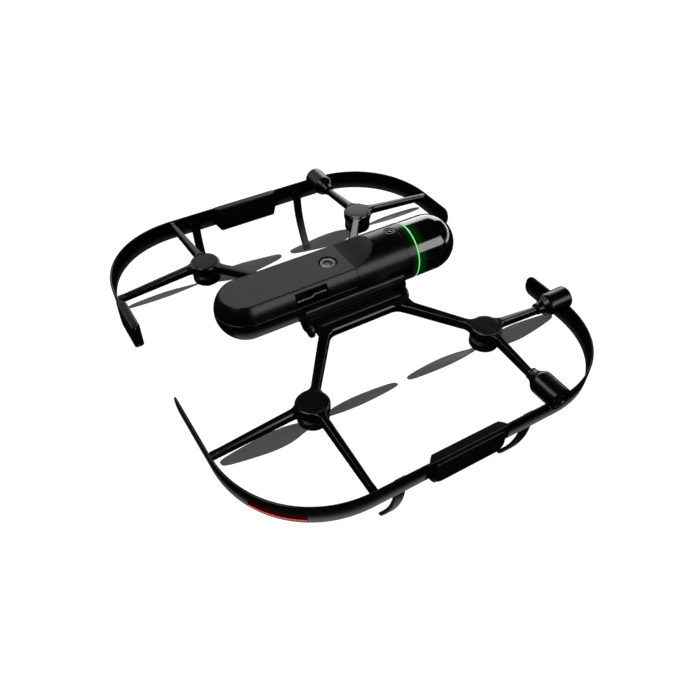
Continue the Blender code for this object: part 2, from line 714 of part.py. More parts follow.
pod("side_camera_pod_right", "side_camera_lens_right", (0, HUB_Y, POD_Z), "X", POD_START, POD_END)
pod("side_camera_pod_left", "side_camera_lens_left", (0, HUB_Y, POD_Z), "-X", POD_START, POD_END)
pod("front_camera_pod", "front_camera_lens", (HUB_X, 0, POD_Z), "Y", FPOD_START, FPOD_END)
radar("rear_radar", None, -GUARD_END_REAR_LEFT + 0.0035, -REAR_RADAR_END - 0.0025, -GUARD_END_REAR_LEFT + GAP, -REAR_RADAR_END,
      -GUARD_Y_REAR, True, -1, (-HINGE_X, 0, HINGE_Z), 0.0056)

# ---------------------------------------------------------------- body
BC = (0, 0, BODY_Z)


def capsule_profile(r, rear_c, front, n=7, front_flat=True):
    """Rear hemisphere and a straight tube, heights along +Y (top is the nose)."""
    pts = [(0.0, front), (r, front)]
    for i in range(n + 1):
        a = math.radians(90.0 * i / n)
        pts.append((r * math.cos(a) if i < n else 0.0, rear_c - r * math.sin(a)))
    return pts


def top_cuts(ob, tag, lift=0.0):
    """The flat top and the scoop that rises from it."""
    flat = box("flat_" + tag, (-0.06, -0.20, FLAT_Z + lift), (0.06, 0.0095, 0.12), cutter=True)
    boolean(ob, flat)


SCOOP_END = 0.0480
scoop_len = SCOOP_END - 0.0095
scoop_rise = BODY_Z + BODY_R - FLAT_Z

shell = turned("body_shell", capsule_profile(BODY_R, BODY_REAR_C, BODY_FRONT), BC, "Y", BLACK, 32)
hollow = turned("shell_hollow", capsule_profile(BODY_R - BODY_WALL, BODY_REAR_C, BODY_FRONT + 0.01), BC, "Y", steps=32, cutter=True)
bay = box("battery_bay", (-0.06, -0.20, BATTERY_SPLIT), (0.06, BATTERY_FRONT + GAP, 0.12), cutter=True)
scoop = put("scoop", prism_mesh("scoop", [(-0.01, FLAT_Z - (0.0195) * scoop_rise / scoop_len),
                                          (SCOOP_END + 0.02, FLAT_Z + (SCOOP_END + 0.02 - 0.0095) * scoop_rise / scoop_len),
                                          (SCOOP_END + 0.02, 0.12), (-0.01, 0.12)], -0.06, 0.06, "YZ"), None, cutter=True)
# inner skin keeps its wall under the scoop
inner_scoop = put("scoop_inner", prism_mesh("scoop_inner", [(-0.03, FLAT_Z - (0.0395) * scoop_rise / scoop_len - 0.0026),
                                                            (SCOOP_END + 0.03, FLAT_Z + (SCOOP_END + 0.03 - 0.0095) * scoop_rise / scoop_len - 0.0026),
                                                            (SCOOP_END + 0.03, 0.12), (-0.03, 0.12)], -0.06, 0.06, "YZ"), None, cutter=True)
boolean(hollow, inner_scoop)
boolean(shell, hollow)
boolean(shell, bay)
boolean(shell, scoop)
cam_hole = turned("top_camera_hole", rod(0.0080 + GAP, 0.0, 0.08), (0, TOP_CAM_Y - 0.0015, 0.05), "Z", steps=18, cutter=True)
boolean(shell, cam_hole)
bot_hole = turned("bottom_camera_hole", rod(0.0065 + GAP, -0.03, 0.0), (0, -0.0950, 0.0), "Z", steps=14, cutter=True)
boolean(shell, bot_hole)

# battery: the lift-out rear top of the capsule
cover = turned("battery_cover", capsule_profile(BODY_R, BODY_REAR_C, BATTERY_FRONT), BC, "Y", TOPGREY, 32)
keep_low = box("battery_below", (-0.06, -0.20, -0.05), (0.06, 0.05, BATTERY_SPLIT + GAP), cutter=True)
boolean(cover, keep_low)
top_cuts(cover, "battery")
cavity = box("battery_cavity", (-0.0262, -0.1490, 0.0200), (0.0262, -0.0300, 0.0516), cutter=True)
boolean(cover, cavity)
well = turned("button_well", rod(0.0110 + GAP, FLAT_Z - 0.0065, FLAT_Z + 0.01), (0, BUTTON_Y, 0), "Z", steps=20, cutter=True)
boolean(cover, well)
for s, tag in ((1, "right"), (-1, "left")):
    rec = put("finger_recess_" + tag, prism_mesh("finger_recess_" + tag,
              [(-0.0815, 0.0360), (-0.0355, 0.0360), (-0.0355, 0.0485), (-0.0375, 0.0500), (-0.0795, 0.0500), (-0.0815, 0.0485)],
              s * 0.0330, s * 0.0600, "YZ"), None, cutter=True)
    boolean(cover, rec)
    pocket = box("latch_pocket_" + tag, (min(s * 0.0285, s * 0.0345), -0.0705, 0.0380), (max(s * 0.0285, s * 0.0345), -0.0465, 0.0470), cutter=True)
    boolean(cover, pocket)
    lt = box("battery_latch_" + tag, (min(s * 0.0305, s * 0.0345), -0.0701, 0.0384), (max(s * 0.0305, s * 0.0345), -0.0469, 0.0466),
             BLACK, pivot=(s * 0.0325, -0.0585, 0.0425))
    bevel(lt, 0.0006, 1, 50.0)

box("battery_cells", (-0.0256, -0.1480, 0.0175), (0.0256, -0.0306, 0.0510), CELL)
turned("power_button_ring", [(0.0106, FLAT_Z - 0.0004), (0.0110, FLAT_Z - 0.0010), (0.0110, FLAT_Z - 0.0060), (0.0066, FLAT_Z - 0.0060),
                             (0.0066, FLAT_Z - 0.0008), (0.0078, FLAT_Z - 0.0008), (0.0086, FLAT_Z - 0.0016)],
       (0, BUTTON_Y, 0), "Z", RINGMETAL, 20, closed=True)
turned("power_button", round_rod(0.0062, -0.0030, 0.0, 0.0, 0.0004), (0, BUTTON_Y, FLAT_Z - 0.0012), "Z", BLACK, 16)

# inside the body
box("chassis_tray", (-0.0280, -0.1300, 0.0078), (0.0280, 0.0700, 0.0104), DARKALU)
box("main_board", (-0.0260, -0.0250, 0.0125), (0.0260, 0.0660, 0.0141), BOARD)
turned("scanner_drive_motor", round_rod(0.0130, 0.0800, 0.1015, 0.001, 0.001), BC, "Y", DARKALU, 16)

# nose: collar, light ring, dome
turned("scanner_collar", [(BODY_R, COLLAR[1]), (BODY_R, COLLAR[0]), (BODY_R - BODY_WALL, COLLAR[0]), (BODY_R - BODY_WALL, COLLAR[1])],
       BC, "Y", BLACK, 32, closed=True)
turned("led_ring", [(BODY_R, RING[1]), (BODY_R, RING[0]), (BODY_R - 0.0040, RING[0]), (BODY_R - 0.0040, RING[1])],
       BC, "Y", GREEN, 32, closed=True)


def dome_profile(r_out, r_in, y0, c, n=6):
    outer, inner = [], []
    for i in range(n + 1):
        a = math.radians(90.0 * (1.0 - i / n))
        outer.append((r_out * math.cos(a) if i else 0.0, c + r_out * math.sin(a)))
        inner.append((r_in * math.cos(a) if i else 0.0, c + r_in * math.sin(a)))
    return outer + [(r_out, y0), (r_in, y0)] + inner[::-1]


turned("dome", dome_profile(DOME_R, DOME_R - 0.0020, DOME[0], DOME[1]), BC, "Y", SMOKE, 32)

head = turned("scanner_head", round_rod(0.0240, 0.1075, 0.1135, 0.0008, 0.0008), BC, "Y", DARKALU, 20)
for s in (1, -1):
    prong = box("yoke_%d" % s, (min(s * 0.0175, s * 0.0215), 0.1120, BODY_Z - 0.0080), (max(s * 0.0175, s * 0.0215), 0.1460, BODY_Z + 0.0080), cutter=True)
    boolean(head, prong, 'UNION')
mirror = turned("scanner_mirror", round_rod(0.0110, -0.0170, 0.0170, 0.0006, 0.0006), (0, 0.1340, BODY_Z), "X", MIRROR, 16)
face = put("mirror_face", box_mesh("mirror_face", (-0.03, 0.0030, -0.03), (0.03, 0.03, 0.03)), None, cutter=True)
face.location = Vector((0, 0.1340, BODY_Z)) + OFFSET
boolean(mirror, face)

# cameras in the body
turned("top_camera_barrel", [(0.0066, 0.0160), (0.0080, 0.0152), (0.0080, 0.0040), (0.0, 0.0040), (0.0, 0.0128), (0.0052, 0.0128),
                             (0.0052, 0.0160)], (0, TOP_CAM_Y - 0.0015, BODY_Z + BODY_R - 0.0150), "Z", BLACK, 18, closed=False)
cam = bpy.data.objects["top_camera_barrel"]
bm = bmesh.new()
bm.from_mesh(cam.data)
bm.verts.ensure_lookup_table()
bm.edges.new((bm.verts[len(bm.verts) - 1], bm.verts[0]))
bm.to_mesh(cam.data)
bm.free()
turned("top_camera_lens", [(0.0, 0.0156), (0.0025, 0.0152), (0.0048, 0.0140), (0.0048, 0.0131), (0.0, 0.0131)],
       (0, TOP_CAM_Y - 0.0015, BODY_Z + BODY_R - 0.0150), "Z", LENS, 14)
turned("bottom_camera", round_rod(0.0065, -0.0115, 0.0030, 0.0008, 0.0), (0, -0.0950, 0.0), "Z", BLACK, 14)

# ---------------------------------------------------------------- hinge saddle
def saddle_outline():
    """Cross-section of the cradle under the body, with its two side lobes."""
    r_in = BODY_R + GAP
    r_out = r_in + 0.0024
    right = []
    # outside of the lobe from the body's side down to the underside
    right.append((0.0398, 0.0225))
    right.append((0.0412, 0.0215))
    right.append((0.0424, 0.0180))
    right.append((0.0430, 0.0120))
    right.append((0.0430, 0.0060))
    right.append((0.0424, 0.0030))
    right.append((0.0412, -0.0030))
    right.append((0.0402, -0.0090))
    right.append((0.0375, -0.0125))
    right.append((0.0330, -0.0135))
    right.append((0.0280, -0.0125))
    a0 = math.degrees(math.atan2(-0.0125 - BODY_Z, 0.0280)) + 3.0
    under = []
    n = 7
    for i in range(n + 1):
        a = -58.0 - (180.0 - 116.0) * i / n
        under.append((r_out * math.cos(math.radians(a)), BODY_Z + r_out * math.sin(math.radians(a))))
    left = [(-x, z) for x, z in right][::-1]
    inside = []
    m = 18
    b0 = math.degrees(math.atan2(0.0225 - BODY_Z, 0.0398))
    for i in range(m + 1):
        a = (180.0 - b0) + (180.0 + 2 * b0) * i / m
        inside.append((r_in * math.cos(math.radians(a)), BODY_Z + r_in * math.sin(math.radians(a))))
    return right + under + left + inside[1:-1]


saddle = put("hinge_saddle", prism_mesh("hinge_saddle", saddle_outline(), CAP_PLATE_REAR[0], CAP_PLATE_FRONT[1], "XZ"), BLACK)
for s, tag in ((1, "right"), (-1, "left")):
    at = (s * HINGE_X, 0, HINGE_Z)
    barrel = turned("barrel_" + tag, rod(HINGE_R, EAR_REAR[1] + GAP, EAR_FRONT[0] - GAP), at, "Y", steps=16, cutter=True)
    boolean(saddle, barrel, 'UNION')
    for i, (y0, y1) in enumerate((CAP_PLATE_REAR, CAP_PLATE_FRONT)):
        lobe = turned("end_cap_%d_%s" % (i, tag), rod(0.0115, y0 - 0.00005, y1 + 0.00005),
                      (s * 0.0445, 0, HINGE_Z), "Y", steps=20, cutter=True)
        boolean(saddle, lobe, 'UNION')
    for i, (y0, y1) in enumerate((EAR_REAR, EAR_FRONT)):
        room = turned("ear_room_%d_%s" % (i, tag), rod(HINGE_R + 0.0006, y0 - GAP, y1 + GAP), at, "Y", steps=16, cutter=True)
        boolean(saddle, room)
    hole = turned("pin_hole_" + tag, rod(PIN_R + GAP, CAP_PLATE_REAR[0] + 0.0015, CAP_PLATE_FRONT[1] + 0.004), at, "Y", steps=12, cutter=True)
    boolean(saddle, hole)
    turned("hinge_pin_" + tag, rod(PIN_R, CAP_PLATE_REAR[0] + 0.0018, CAP_PLATE_FRONT[1] - 0.0004), at, "Y", STEEL, 12)

# ---------------------------------------------------------------- joint frames
def empty(name, at):
    e = bpy.data.objects.new(name, None)
    e.empty_display_size = 0.02
    e.location = Vector(at) + OFFSET
    PARTS.objects.link(e)
    return e


def parent(child, par):
    child.parent = par
    child.matrix_parent_inverse = Matrix.Translation(-par.location) if par.parent is None else par.matrix_world.inverted()


HINGES = {}
for side, tag in ((1, "right"), (-1, "left")):
    h = empty("wing_hinge_" + tag, (side * HINGE_X, 0, HINGE_Z))
    HINGES[tag] = h
    names = ["wing_frame_", "guard_front_", "guard_rear_", "side_radar_", "side_radar_cover_", "hub_cap_front_", "hub_cap_rear_",
             "motor_stator_front_", "motor_stator_rear_", "motor_bell_front_", "motor_bell_rear_", "propeller_front_", "propeller_rear_",
             "leg_front_", "leg_rear_", "side_camera_pod_", "side_camera_lens_", "tail_light_"]
    for n in names:
        parent(bpy.data.objects[n + tag], h)
for n in ("front_camera_pod", "front_camera_lens"):
    parent(bpy.data.objects[n], HINGES["right"])
parent(bpy.data.objects["rear_radar"], HINGES["left"])
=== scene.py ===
"""Looks of the folding mapping drone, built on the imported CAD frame."""
import math
import bpy
import bmesh
from mathutils import Vector, Matrix
from mathutils.geometry import delaunay_2d_cdt


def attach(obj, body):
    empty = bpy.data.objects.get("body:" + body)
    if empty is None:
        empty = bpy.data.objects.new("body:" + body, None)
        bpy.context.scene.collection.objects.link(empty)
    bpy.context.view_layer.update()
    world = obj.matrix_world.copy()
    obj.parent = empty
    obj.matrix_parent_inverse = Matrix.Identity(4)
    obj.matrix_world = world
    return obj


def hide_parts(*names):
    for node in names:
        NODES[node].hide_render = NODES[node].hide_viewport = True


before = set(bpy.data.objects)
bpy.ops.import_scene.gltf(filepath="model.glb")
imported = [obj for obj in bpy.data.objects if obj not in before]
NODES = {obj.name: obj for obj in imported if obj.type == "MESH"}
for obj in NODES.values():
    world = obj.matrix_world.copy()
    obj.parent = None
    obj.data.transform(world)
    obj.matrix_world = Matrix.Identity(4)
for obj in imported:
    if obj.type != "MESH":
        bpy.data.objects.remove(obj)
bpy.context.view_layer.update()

SCN = bpy.context.scene
OFF = Vector((0.0, -0.0009, 0.1210))      # design coordinates to the row frame

# ------------------------------------------------------------------ camera
AZ, EL = math.radians(58.81), math.radians(43.49)
right = Vector((math.cos(AZ), math.sin(AZ), 0.0))
back = Vector((math.sin(AZ) * math.cos(EL), -math.cos(AZ) * math.cos(EL), math.sin(EL)))
up = back.cross(right)
cam_data = bpy.data.cameras.new("camera")
cam_data.sensor_width = 36.0
cam_data.lens = 37.16
cam_data.clip_start = 0.01
cam_data.clip_end = 60.0
cam = bpy.data.objects.new("camera", cam_data)
SCN.collection.objects.link(cam)
loc = Vector((0.1067, -0.0460, 0.0)) + OFF + back * 0.8945
cam.matrix_world = Matrix((
    (right.x, up.x, back.x, loc.x),
    (right.y, up.y, back.y, loc.y),
    (right.z, up.z, back.z, loc.z),
    (0.0, 0.0, 0.0, 1.0)))
SCN.camera = cam
SCN.view_settings.view_transform = 'Standard'
SCN.view_settings.look = 'None'


# ------------------------------------------------------------------ materials
G_LOW = 0.1210 - 0.0400

def plastic(name, rgb, rough, spec=0.25, grain=1800.0, grain_h=0.0000015, tint=0.25, coat=0.0, metal=0.0):
    """Moulded plastic or metal: fine grain, soft roughness and tone variation."""
    m = bpy.data.materials.new(name)
    m.use_nodes = True
    nt = m.node_tree
    b = nt.nodes["Principled BSDF"]
    b.inputs["Metallic"].default_value = metal
    b.inputs["Specular IOR Level"].default_value = spec
    b.inputs["Coat Weight"].default_value = coat
    b.inputs["Coat Roughness"].default_value = 0.12
    tc = nt.nodes.new("ShaderNodeTexCoord")
    big = nt.nodes.new("ShaderNodeTexNoise")
    big.inputs["Scale"].default_value = 38.0
    big.inputs["Detail"].default_value = 4.0
    nt.links.new(tc.outputs["Object"], big.inputs["Vector"])
    ramp = nt.nodes.new("ShaderNodeValToRGB")
    ramp.color_ramp.elements[0].position = 0.3
    ramp.color_ramp.elements[1].position = 0.75
    lo = [c * (1.0 - tint) for c in rgb]
    hi = [min(1.0, c * (1.0 + tint)) for c in rgb]
    ramp.color_ramp.elements[0].color = (*lo, 1.0)
    ramp.color_ramp.elements[1].color = (*hi, 1.0)
    nt.links.new(big.outputs["Fac"], ramp.inputs["Fac"])
    nt.links.new(ramp.outputs["Color"], b.inputs["Base Color"])
    fine = nt.nodes.new("ShaderNodeTexNoise")
    fine.inputs["Scale"].default_value = grain
    fine.inputs["Detail"].default_value = 3.0
    nt.links.new(tc.outputs["Object"], fine.inputs["Vector"])
    rr = nt.nodes.new("ShaderNodeMapRange")
    rr.inputs["From Min"].default_value = 0.25
    rr.inputs["From Max"].default_value = 0.75
    rr.inputs["To Min"].default_value = max(0.02, rough - 0.018)
    rr.inputs["To Max"].default_value = min(1.0, rough + 0.018)
    nt.links.new(big.outputs["Fac"], rr.inputs["Value"])
    nt.links.new(rr.outputs["Result"], b.inputs["Roughness"])
    bump = nt.nodes.new("ShaderNodeBump")
    bump.inputs["Strength"].default_value = 0.35
    bump.inputs["Distance"].default_value = grain_h
    nt.links.new(fine.outputs["Fac"], bump.inputs["Height"])
    nt.links.new(bump.outputs["Normal"], b.inputs["Normal"])
    return m


def add_painted_glow(mat, rgb, centre, reach, strength, axis=1):
    """Painted light: emission standing in for light spilling along the surface from a lit edge at `centre` on one axis.
    """
    nt = mat.node_tree
    b = nt.nodes["Principled BSDF"]
    tc = nt.nodes.new("ShaderNodeTexCoord")
    sep = nt.nodes.new("ShaderNodeSeparateXYZ")
    nt.links.new(tc.outputs["Object"], sep.inputs["Vector"])
    d = nt.nodes.new("ShaderNodeMath")
    d.operation = 'SUBTRACT'
    nt.links.new(sep.outputs[axis], d.inputs[0])
    d.inputs[1].default_value = centre
    a = nt.nodes.new("ShaderNodeMath")
    a.operation = 'ABSOLUTE'
    nt.links.new(d.outputs[0], a.inputs[0])
    f = nt.nodes.new("ShaderNodeMapRange")
    f.interpolation_type = 'SMOOTHERSTEP'
    f.inputs["From Min"].default_value = reach
    f.inputs["From Max"].default_value = 0.0
    f.inputs["To Min"].default_value = 0.0
    f.inputs["To Max"].default_value = strength
    nt.links.new(a.outputs[0], f.inputs["Value"])
    b.inputs["Emission Color"].default_value = (*rgb, 1.0)
    nt.links.new(f.outputs["Result"], b.inputs["Emission Strength"])


def lamp(name, rgb, strength, scale=900.0):
    """Diffusing light strip: emission with faint cells."""
    m = bpy.data.materials.new(name)
    m.use_nodes = True
    nt = m.node_tree
    b = nt.nodes["Principled BSDF"]
    b.inputs["Base Color"].default_value = (*rgb, 1.0)
    b.inputs["Roughness"].default_value = 0.35
    tc = nt.nodes.new("ShaderNodeTexCoord")
    n = nt.nodes.new("ShaderNodeTexNoise")
    n.inputs["Scale"].default_value = scale
    nt.links.new(tc.outputs["Object"], n.inputs["Vector"])
    r = nt.nodes.new("ShaderNodeMapRange")
    r.inputs["To Min"].default_value = strength * 0.8
    r.inputs["To Max"].default_value = strength * 1.2
    nt.links.new(n.outputs["Fac"], r.inputs["Value"])
    nt.links.new(r.outputs["Result"], b.inputs["Emission Strength"])
    b.inputs["Emission Color"].default_value = (*rgb, 1.0)
    return m


M_BODY = plastic("body_satin_black", (0.0020, 0.0020, 0.0021), 0.27, 0.34)
M_TOP = plastic("battery_matt_grey", (0.072, 0.070, 0.066), 0.62, 0.16, 2600.0, 0.000008, 0.06)
M_FRAME = plastic("frame_satin_black", (0.0016, 0.0016, 0.0016), 0.19, 0.56)
M_CAP = plastic("hub_cap_black", (0.0050, 0.0050, 0.0048), 0.20, 0.30)
M_GUARD_OUTER_SHEEN = plastic("guard_satin_black", (0.0012, 0.0012, 0.0012), 0.24, 0.32)
M_POD = plastic("pod_satin_black", (0.0018, 0.0018, 0.0019), 0.23, 0.42)
M_RADAR = plastic("radar_soft_black", (0.0024, 0.0024, 0.0023), 0.30, 0.34)
M_LEG = plastic("leg_black", (0.0040, 0.0040, 0.0038), 0.32, 0.34)
M_SADDLE = plastic("saddle_soft_black", (0.0028, 0.0028, 0.0027), 0.36, 0.46)
M_SCOOP = plastic("scoop_satin_grey", (0.014, 0.0138, 0.013), 0.36, 0.42, 2600.0, 0.000004, 0.06)
# Dull near-black for the screw, dish, connector and light channel; on the radar and clamp slots, drawn as flat marks,
# it is painted shade standing in for the slots' depth.
M_DULL_BLACK_AND_SLOT_SHADE = plastic("dull_black_and_painted_slot_shade", (0.0010, 0.0010, 0.0010), 0.50, 0.10)
# Light grey for the button rings, power mark and top camera rim; on the latch lever's edge bead it is a painted
# highlight.
M_GREY_TRIM_AND_HIGHLIGHT = plastic("grey_trim_and_painted_highlight", (0.42, 0.42, 0.41), 0.30, 0.6, 1400.0, 0.00001, 0.08)
M_METAL = plastic("dark_anodised", (0.030, 0.030, 0.033), 0.34, 0.5, 900.0, 0.00001, 0.15, 0.0, 0.85)
M_STEEL = plastic("ground_steel", (0.50, 0.50, 0.51), 0.28, 0.5, 900.0, 0.00001, 0.06, 0.0, 1.0)
M_COPPER = plastic("varnished_stator", (0.020, 0.017, 0.015), 0.45, 0.4, 700.0, 0.00004, 0.3, 0.0, 0.6)
M_BOARD = plastic("coated_board", (0.012, 0.07, 0.03), 0.40, 0.5, 500.0, 0.00004, 0.3)
M_GOLD = plastic("gilt_contact", (0.75, 0.52, 0.20), 0.25, 0.5, 700.0, 0.00001, 0.05, 0.0, 1.0)
M_CELL = plastic("cell_wrap", (0.030, 0.034, 0.042), 0.45, 0.4, 600.0, 0.00003, 0.15)
M_MIRROR = plastic("polished_mirror", (0.80, 0.80, 0.82), 0.05, 0.5, 300.0, 0.000001, 0.02, 0.0, 1.0)
M_LENS = plastic("coated_lens", (0.004, 0.005, 0.009), 0.06, 0.7, 300.0, 0.000001, 0.3, 0.6)
M_COLLAR = plastic("collar_gloss_black", (0.0040, 0.0042, 0.0042), 0.22, 0.32)
# Painted light: green emission on the collar next to the ring stands in for the ring's light falling on it.
add_painted_glow(M_COLLAR, (0.01, 0.50, 0.05), 0.1035 + OFF.y, 0.0120, 0.040)
# Painted reflection: white emission fading up from the band's lower edge stands in for the white floor reflected in the
# outer faces.
add_painted_glow(M_GUARD_OUTER_SHEEN, (1.0, 0.99, 0.96), G_LOW - 0.001, 0.0200, 0.105, axis=2)
# Painted reflection: a copy of the band material with a weaker white emission at the lower edge, for the faces turned
# towards the hub.
M_GUARD_INNER_SHEEN = plastic("guard_inner_black", (0.0012, 0.0012, 0.0012), 0.24, 0.32)
add_painted_glow(M_GUARD_INNER_SHEEN, (1.0, 0.99, 0.96), G_LOW, 0.0130, 0.014, axis=2)
M_TAIL_PAINTED_GLOW = plastic("tail_window", (0.0012, 0.0010, 0.0010), 0.24, 0.32)
# Painted light: red emission on the window, strongest just below the LED strip, stands in for the strip's light
# spreading through it.
add_painted_glow(M_TAIL_PAINTED_GLOW, (1.0, 0.06, 0.06), G_LOW + 0.0030, 0.0230, 0.018, axis=2)
M_GREEN = lamp("ring_green", (0.22, 0.86, 0.28), 0.80)
M_RED = lamp("strip_red", (0.95, 0.05, 0.05), 1.7, 420.0)

M_DOME = plastic("smoked_dome", (0.0012, 0.0014, 0.0013), 0.045, 0.75, 300.0, 0.0000002, 0.2, 0.9)
M_DOME.node_tree.nodes["Principled BSDF"].inputs["Alpha"].default_value = 0.93
# Painted light: green emission on the dome next to the ring stands in for the ring's light showing in the smoked
# plastic.
add_painted_glow(M_DOME, (0.004, 0.60, 0.04), 0.1045 + OFF.y, 0.0185, 0.050)

M_PROP = plastic("smoky_propeller", (0.055, 0.055, 0.055), 0.42, 0.30, 1500.0, 0.000002, 0.15)
_nt = M_PROP.node_tree
_b = _nt.nodes["Principled BSDF"]
_b.inputs["Alpha"].default_value = 0.78


# ------------------------------------------------------------------ mesh helpers
def finish_mesh(me, angle=28.0):
    me.shade_smooth()
    me.set_sharp_from_angle(angle=math.radians(angle))
    me.update()
    return me


def bm_mesh(bm, name, angle=28.0, merge=0.000004):
    if merge:
        bmesh.ops.remove_doubles(bm, verts=bm.verts, dist=merge)
    bmesh.ops.dissolve_degenerate(bm, edges=bm.edges, dist=0.0000005)
    bmesh.ops.recalc_face_normals(bm, faces=bm.faces)
    me = bpy.data.meshes.new(name)
    bm.to_mesh(me)
    bm.free()
    return finish_mesh(me, angle)


def show(name, me, body, mat, reps=()):
    """A piece in the row frame that rides on a body and stands for CAD nodes."""
    me.transform(Matrix.Translation(OFF))
    ob = bpy.data.objects.new(name, me)
    SCN.collection.objects.link(ob)
    if not me.materials:
        me.materials.append(mat)
    wn = ob.modifiers.new("even_normals", 'WEIGHTED_NORMAL')
    wn.keep_sharp = True
    wn.weight = 70
    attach(ob, body)
    if reps:
        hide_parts(*reps)
    return ob


def fillet(points, radii, n=6, closed=False):
    """Polyline whose corners are rounded to the given radii."""
    out = []
    m = len(points)
    for i, p in enumerate(points):
        r = radii[i] if isinstance(radii, (list, tuple)) else radii
        if r <= 0 or (not closed and i in (0, m - 1)):
            out.append(tuple(p))
            continue
        a = Vector(points[i - 1]) - Vector(p)
        b = Vector(points[(i + 1) % m]) - Vector(p)
        la, lb = a.length, b.length
        if la < 1e-9 or lb < 1e-9:
            out.append(tuple(p))
            continue
        a /= la
        b /= lb
        cosang = max(-1.0, min(1.0, a.dot(b)))
        ang = math.acos(cosang)
        if ang > math.radians(179.0):
            out.append(tuple(p))
            continue
        t = min(r / math.tan(ang / 2), la * 0.49, lb * 0.49)
        rr = t * math.tan(ang / 2)
        bis = (a + b).normalized()
        c = Vector(p) + bis * (rr / math.sin(ang / 2))
        s = Vector(p) + a * t - c
        e = Vector(p) + b * t - c
        sweep = s.angle(e)
        for k in range(n + 1):
            f = k / n
            w1 = math.sin((1 - f) * sweep) / math.sin(sweep)
            w2 = math.sin(f * sweep) / math.sin(sweep)
            q = c + s * w1 + e * w2
            out.append((q.x, q.y))
    return out


AX = {
    "Z": Matrix.Identity(3),
    "-Z": Matrix.Rotation(math.pi, 3, 'X'),
    "Y": Matrix.Rotation(-math.pi / 2, 3, 'X'),
    "X": Matrix.Rotation(math.pi / 2, 3, 'Y'),
    "-X": Matrix.Rotation(-math.pi / 2, 3, 'Y'),
}


def add_lathe(bm, prof, at, axis, steps=64, closed=False, start=0.0):
    """Adds a turned surface of (radius, height) points to bm."""
    mtx = AX[axis]
    at = Vector(at)
    rows = []
    for r, h in prof:
        if r < 1e-7:
            v = bm.verts.new(mtx @ Vector((0, 0, h)) + at)
            rows.append([v] * steps)
            continue
        row = []
        for k in range(steps):
            a = start + 2 * math.pi * k / steps
            row.append(bm.verts.new(mtx @ Vector((r * math.cos(a), r * math.sin(a), h)) + at))
        rows.append(row)
    pairs = list(zip(rows, rows[1:]))
    if closed:
        pairs.append((rows[-1], rows[0]))
    for a, b in pairs:
        for k in range(steps):
            q = [a[k], a[(k + 1) % steps], b[(k + 1) % steps], b[k]]
            u = []
            for v in q:
                if v not in u:
                    u.append(v)
            if len(u) >= 3:
                try:
                    bm.faces.new(u)
                except ValueError:
                    pass


def lathe(name, prof, at, axis, steps=64, closed=False, angle=28.0):
    bm = bmesh.new()
    add_lathe(bm, prof, at, axis, steps, closed)
    return bm_mesh(bm, name, angle)


def add_grid(bm, rows, wrap=False):
    """Faces between rows of points; rows all have the same length."""
    vs = [[bm.verts.new(p) for p in row] for row in rows]
    n = len(rows[0])
    for a, b in zip(vs, vs[1:]):
        for k in range(n if wrap else n - 1):
            q = [a[k], a[(k + 1) % n], b[(k + 1) % n], b[k]]
            try:
                bm.faces.new(q)
            except ValueError:
                pass
    return vs


def inset_loop(pts, d, limit=1.7):
    """Closed counterclockwise loop moved inwards by d."""
    n = len(pts)
    out = []
    for i in range(n):
        p0, p1, p2 = Vector(pts[i - 1]), Vector(pts[i]), Vector(pts[(i + 1) % n])
        a, b = (p1 - p0), (p2 - p1)
        if a.length < 1e-9 or b.length < 1e-9:
            out.append(tuple(p1))
            continue
        a.normalize()
        b.normalize()
        na, nb = Vector((-a.y, a.x)), Vector((-b.y, b.x))
        m = na + nb
        if m.length < 1e-6:
            m = na
        m.normalize()
        k = 1.0 / max(1.0 / limit, m.dot(na))
        q = p1 + m * (d * k)
        out.append((q.x, q.y))
    return out


def fill_loops(outer, holes):
    """Triangles between an outer loop and holes; returns points and faces."""
    pts = [Vector(p) for p in outer]
    edges = [(i, (i + 1) % len(outer)) for i in range(len(outer))]
    for h in holes:
        o = len(pts)
        pts += [Vector(p) for p in h]
        edges += [(o + i, o + (i + 1) % len(h)) for i in range(len(h))]
    vs, _, fs, _, _, _ = delaunay_2d_cdt(pts, edges, [], 0, 1e-7)

    def inside(p, loop):
        hit = False
        j = len(loop) - 1
        for i in range(len(loop)):
            xi, yi = loop[i][0], loop[i][1]
            xj, yj = loop[j][0], loop[j][1]
            if (yi > p[1]) != (yj > p[1]) and p[0] < (xj - xi) * (p[1] - yi) / (yj - yi) + xi:
                hit = not hit
            j = i
        return hit

    keep = []
    for f in fs:
        c = sum((vs[i] for i in f), Vector((0, 0))) / len(f)
        if inside(c, outer) and not any(inside(c, h) for h in holes):
            keep.append(f)
    return vs, keep


def add_slab(bm, loop, rings, place, holes=(), base=True):
    """Solid with a rounded rim: rings are (inset, level) from bottom to top,
    place(x, y, level) gives the point.  holes are loops in the top face."""
    rows = []
    for inset, level in rings:
        l2 = inset_loop(loop, inset) if inset else loop
        rows.append([place(x, y, level) for x, y in l2])
    add_grid(bm, rows, wrap=True)
    for (inset, level), hs in (((rings[0], ()), (rings[-1], holes)) if base else ((rings[-1], holes),)):
        l2 = inset_loop(loop, inset) if inset else loop
        vs, fs = fill_loops(l2, hs)
        bv = [bm.verts.new(place(v[0], v[1], level)) for v in vs]
        for f in fs:
            try:
                bm.faces.new([bv[i] for i in f])
            except ValueError:
                pass


def arc(cx, cy, r, a0, a1, n):
    return [(cx + r * math.cos(math.radians(a0 + (a1 - a0) * i / n)),
             cy + r * math.sin(math.radians(a0 + (a1 - a0) * i / n))) for i in range(n + 1)]


def densify(loop, step, closed=True):
    out = []
    n = len(loop)
    for i in range(n if closed else n - 1):
        a, b = Vector(loop[i]), Vector(loop[(i + 1) % n])
        k = max(1, int((b - a).length / step))
        for j in range(k):
            q = a.lerp(b, j / k)
            out.append((q.x, q.y))
    if not closed:
        out.append(tuple(loop[-1]))
    return out


def smooth(t):
    t = max(0.0, min(1.0, t))
    return t * t * (3 - 2 * t)


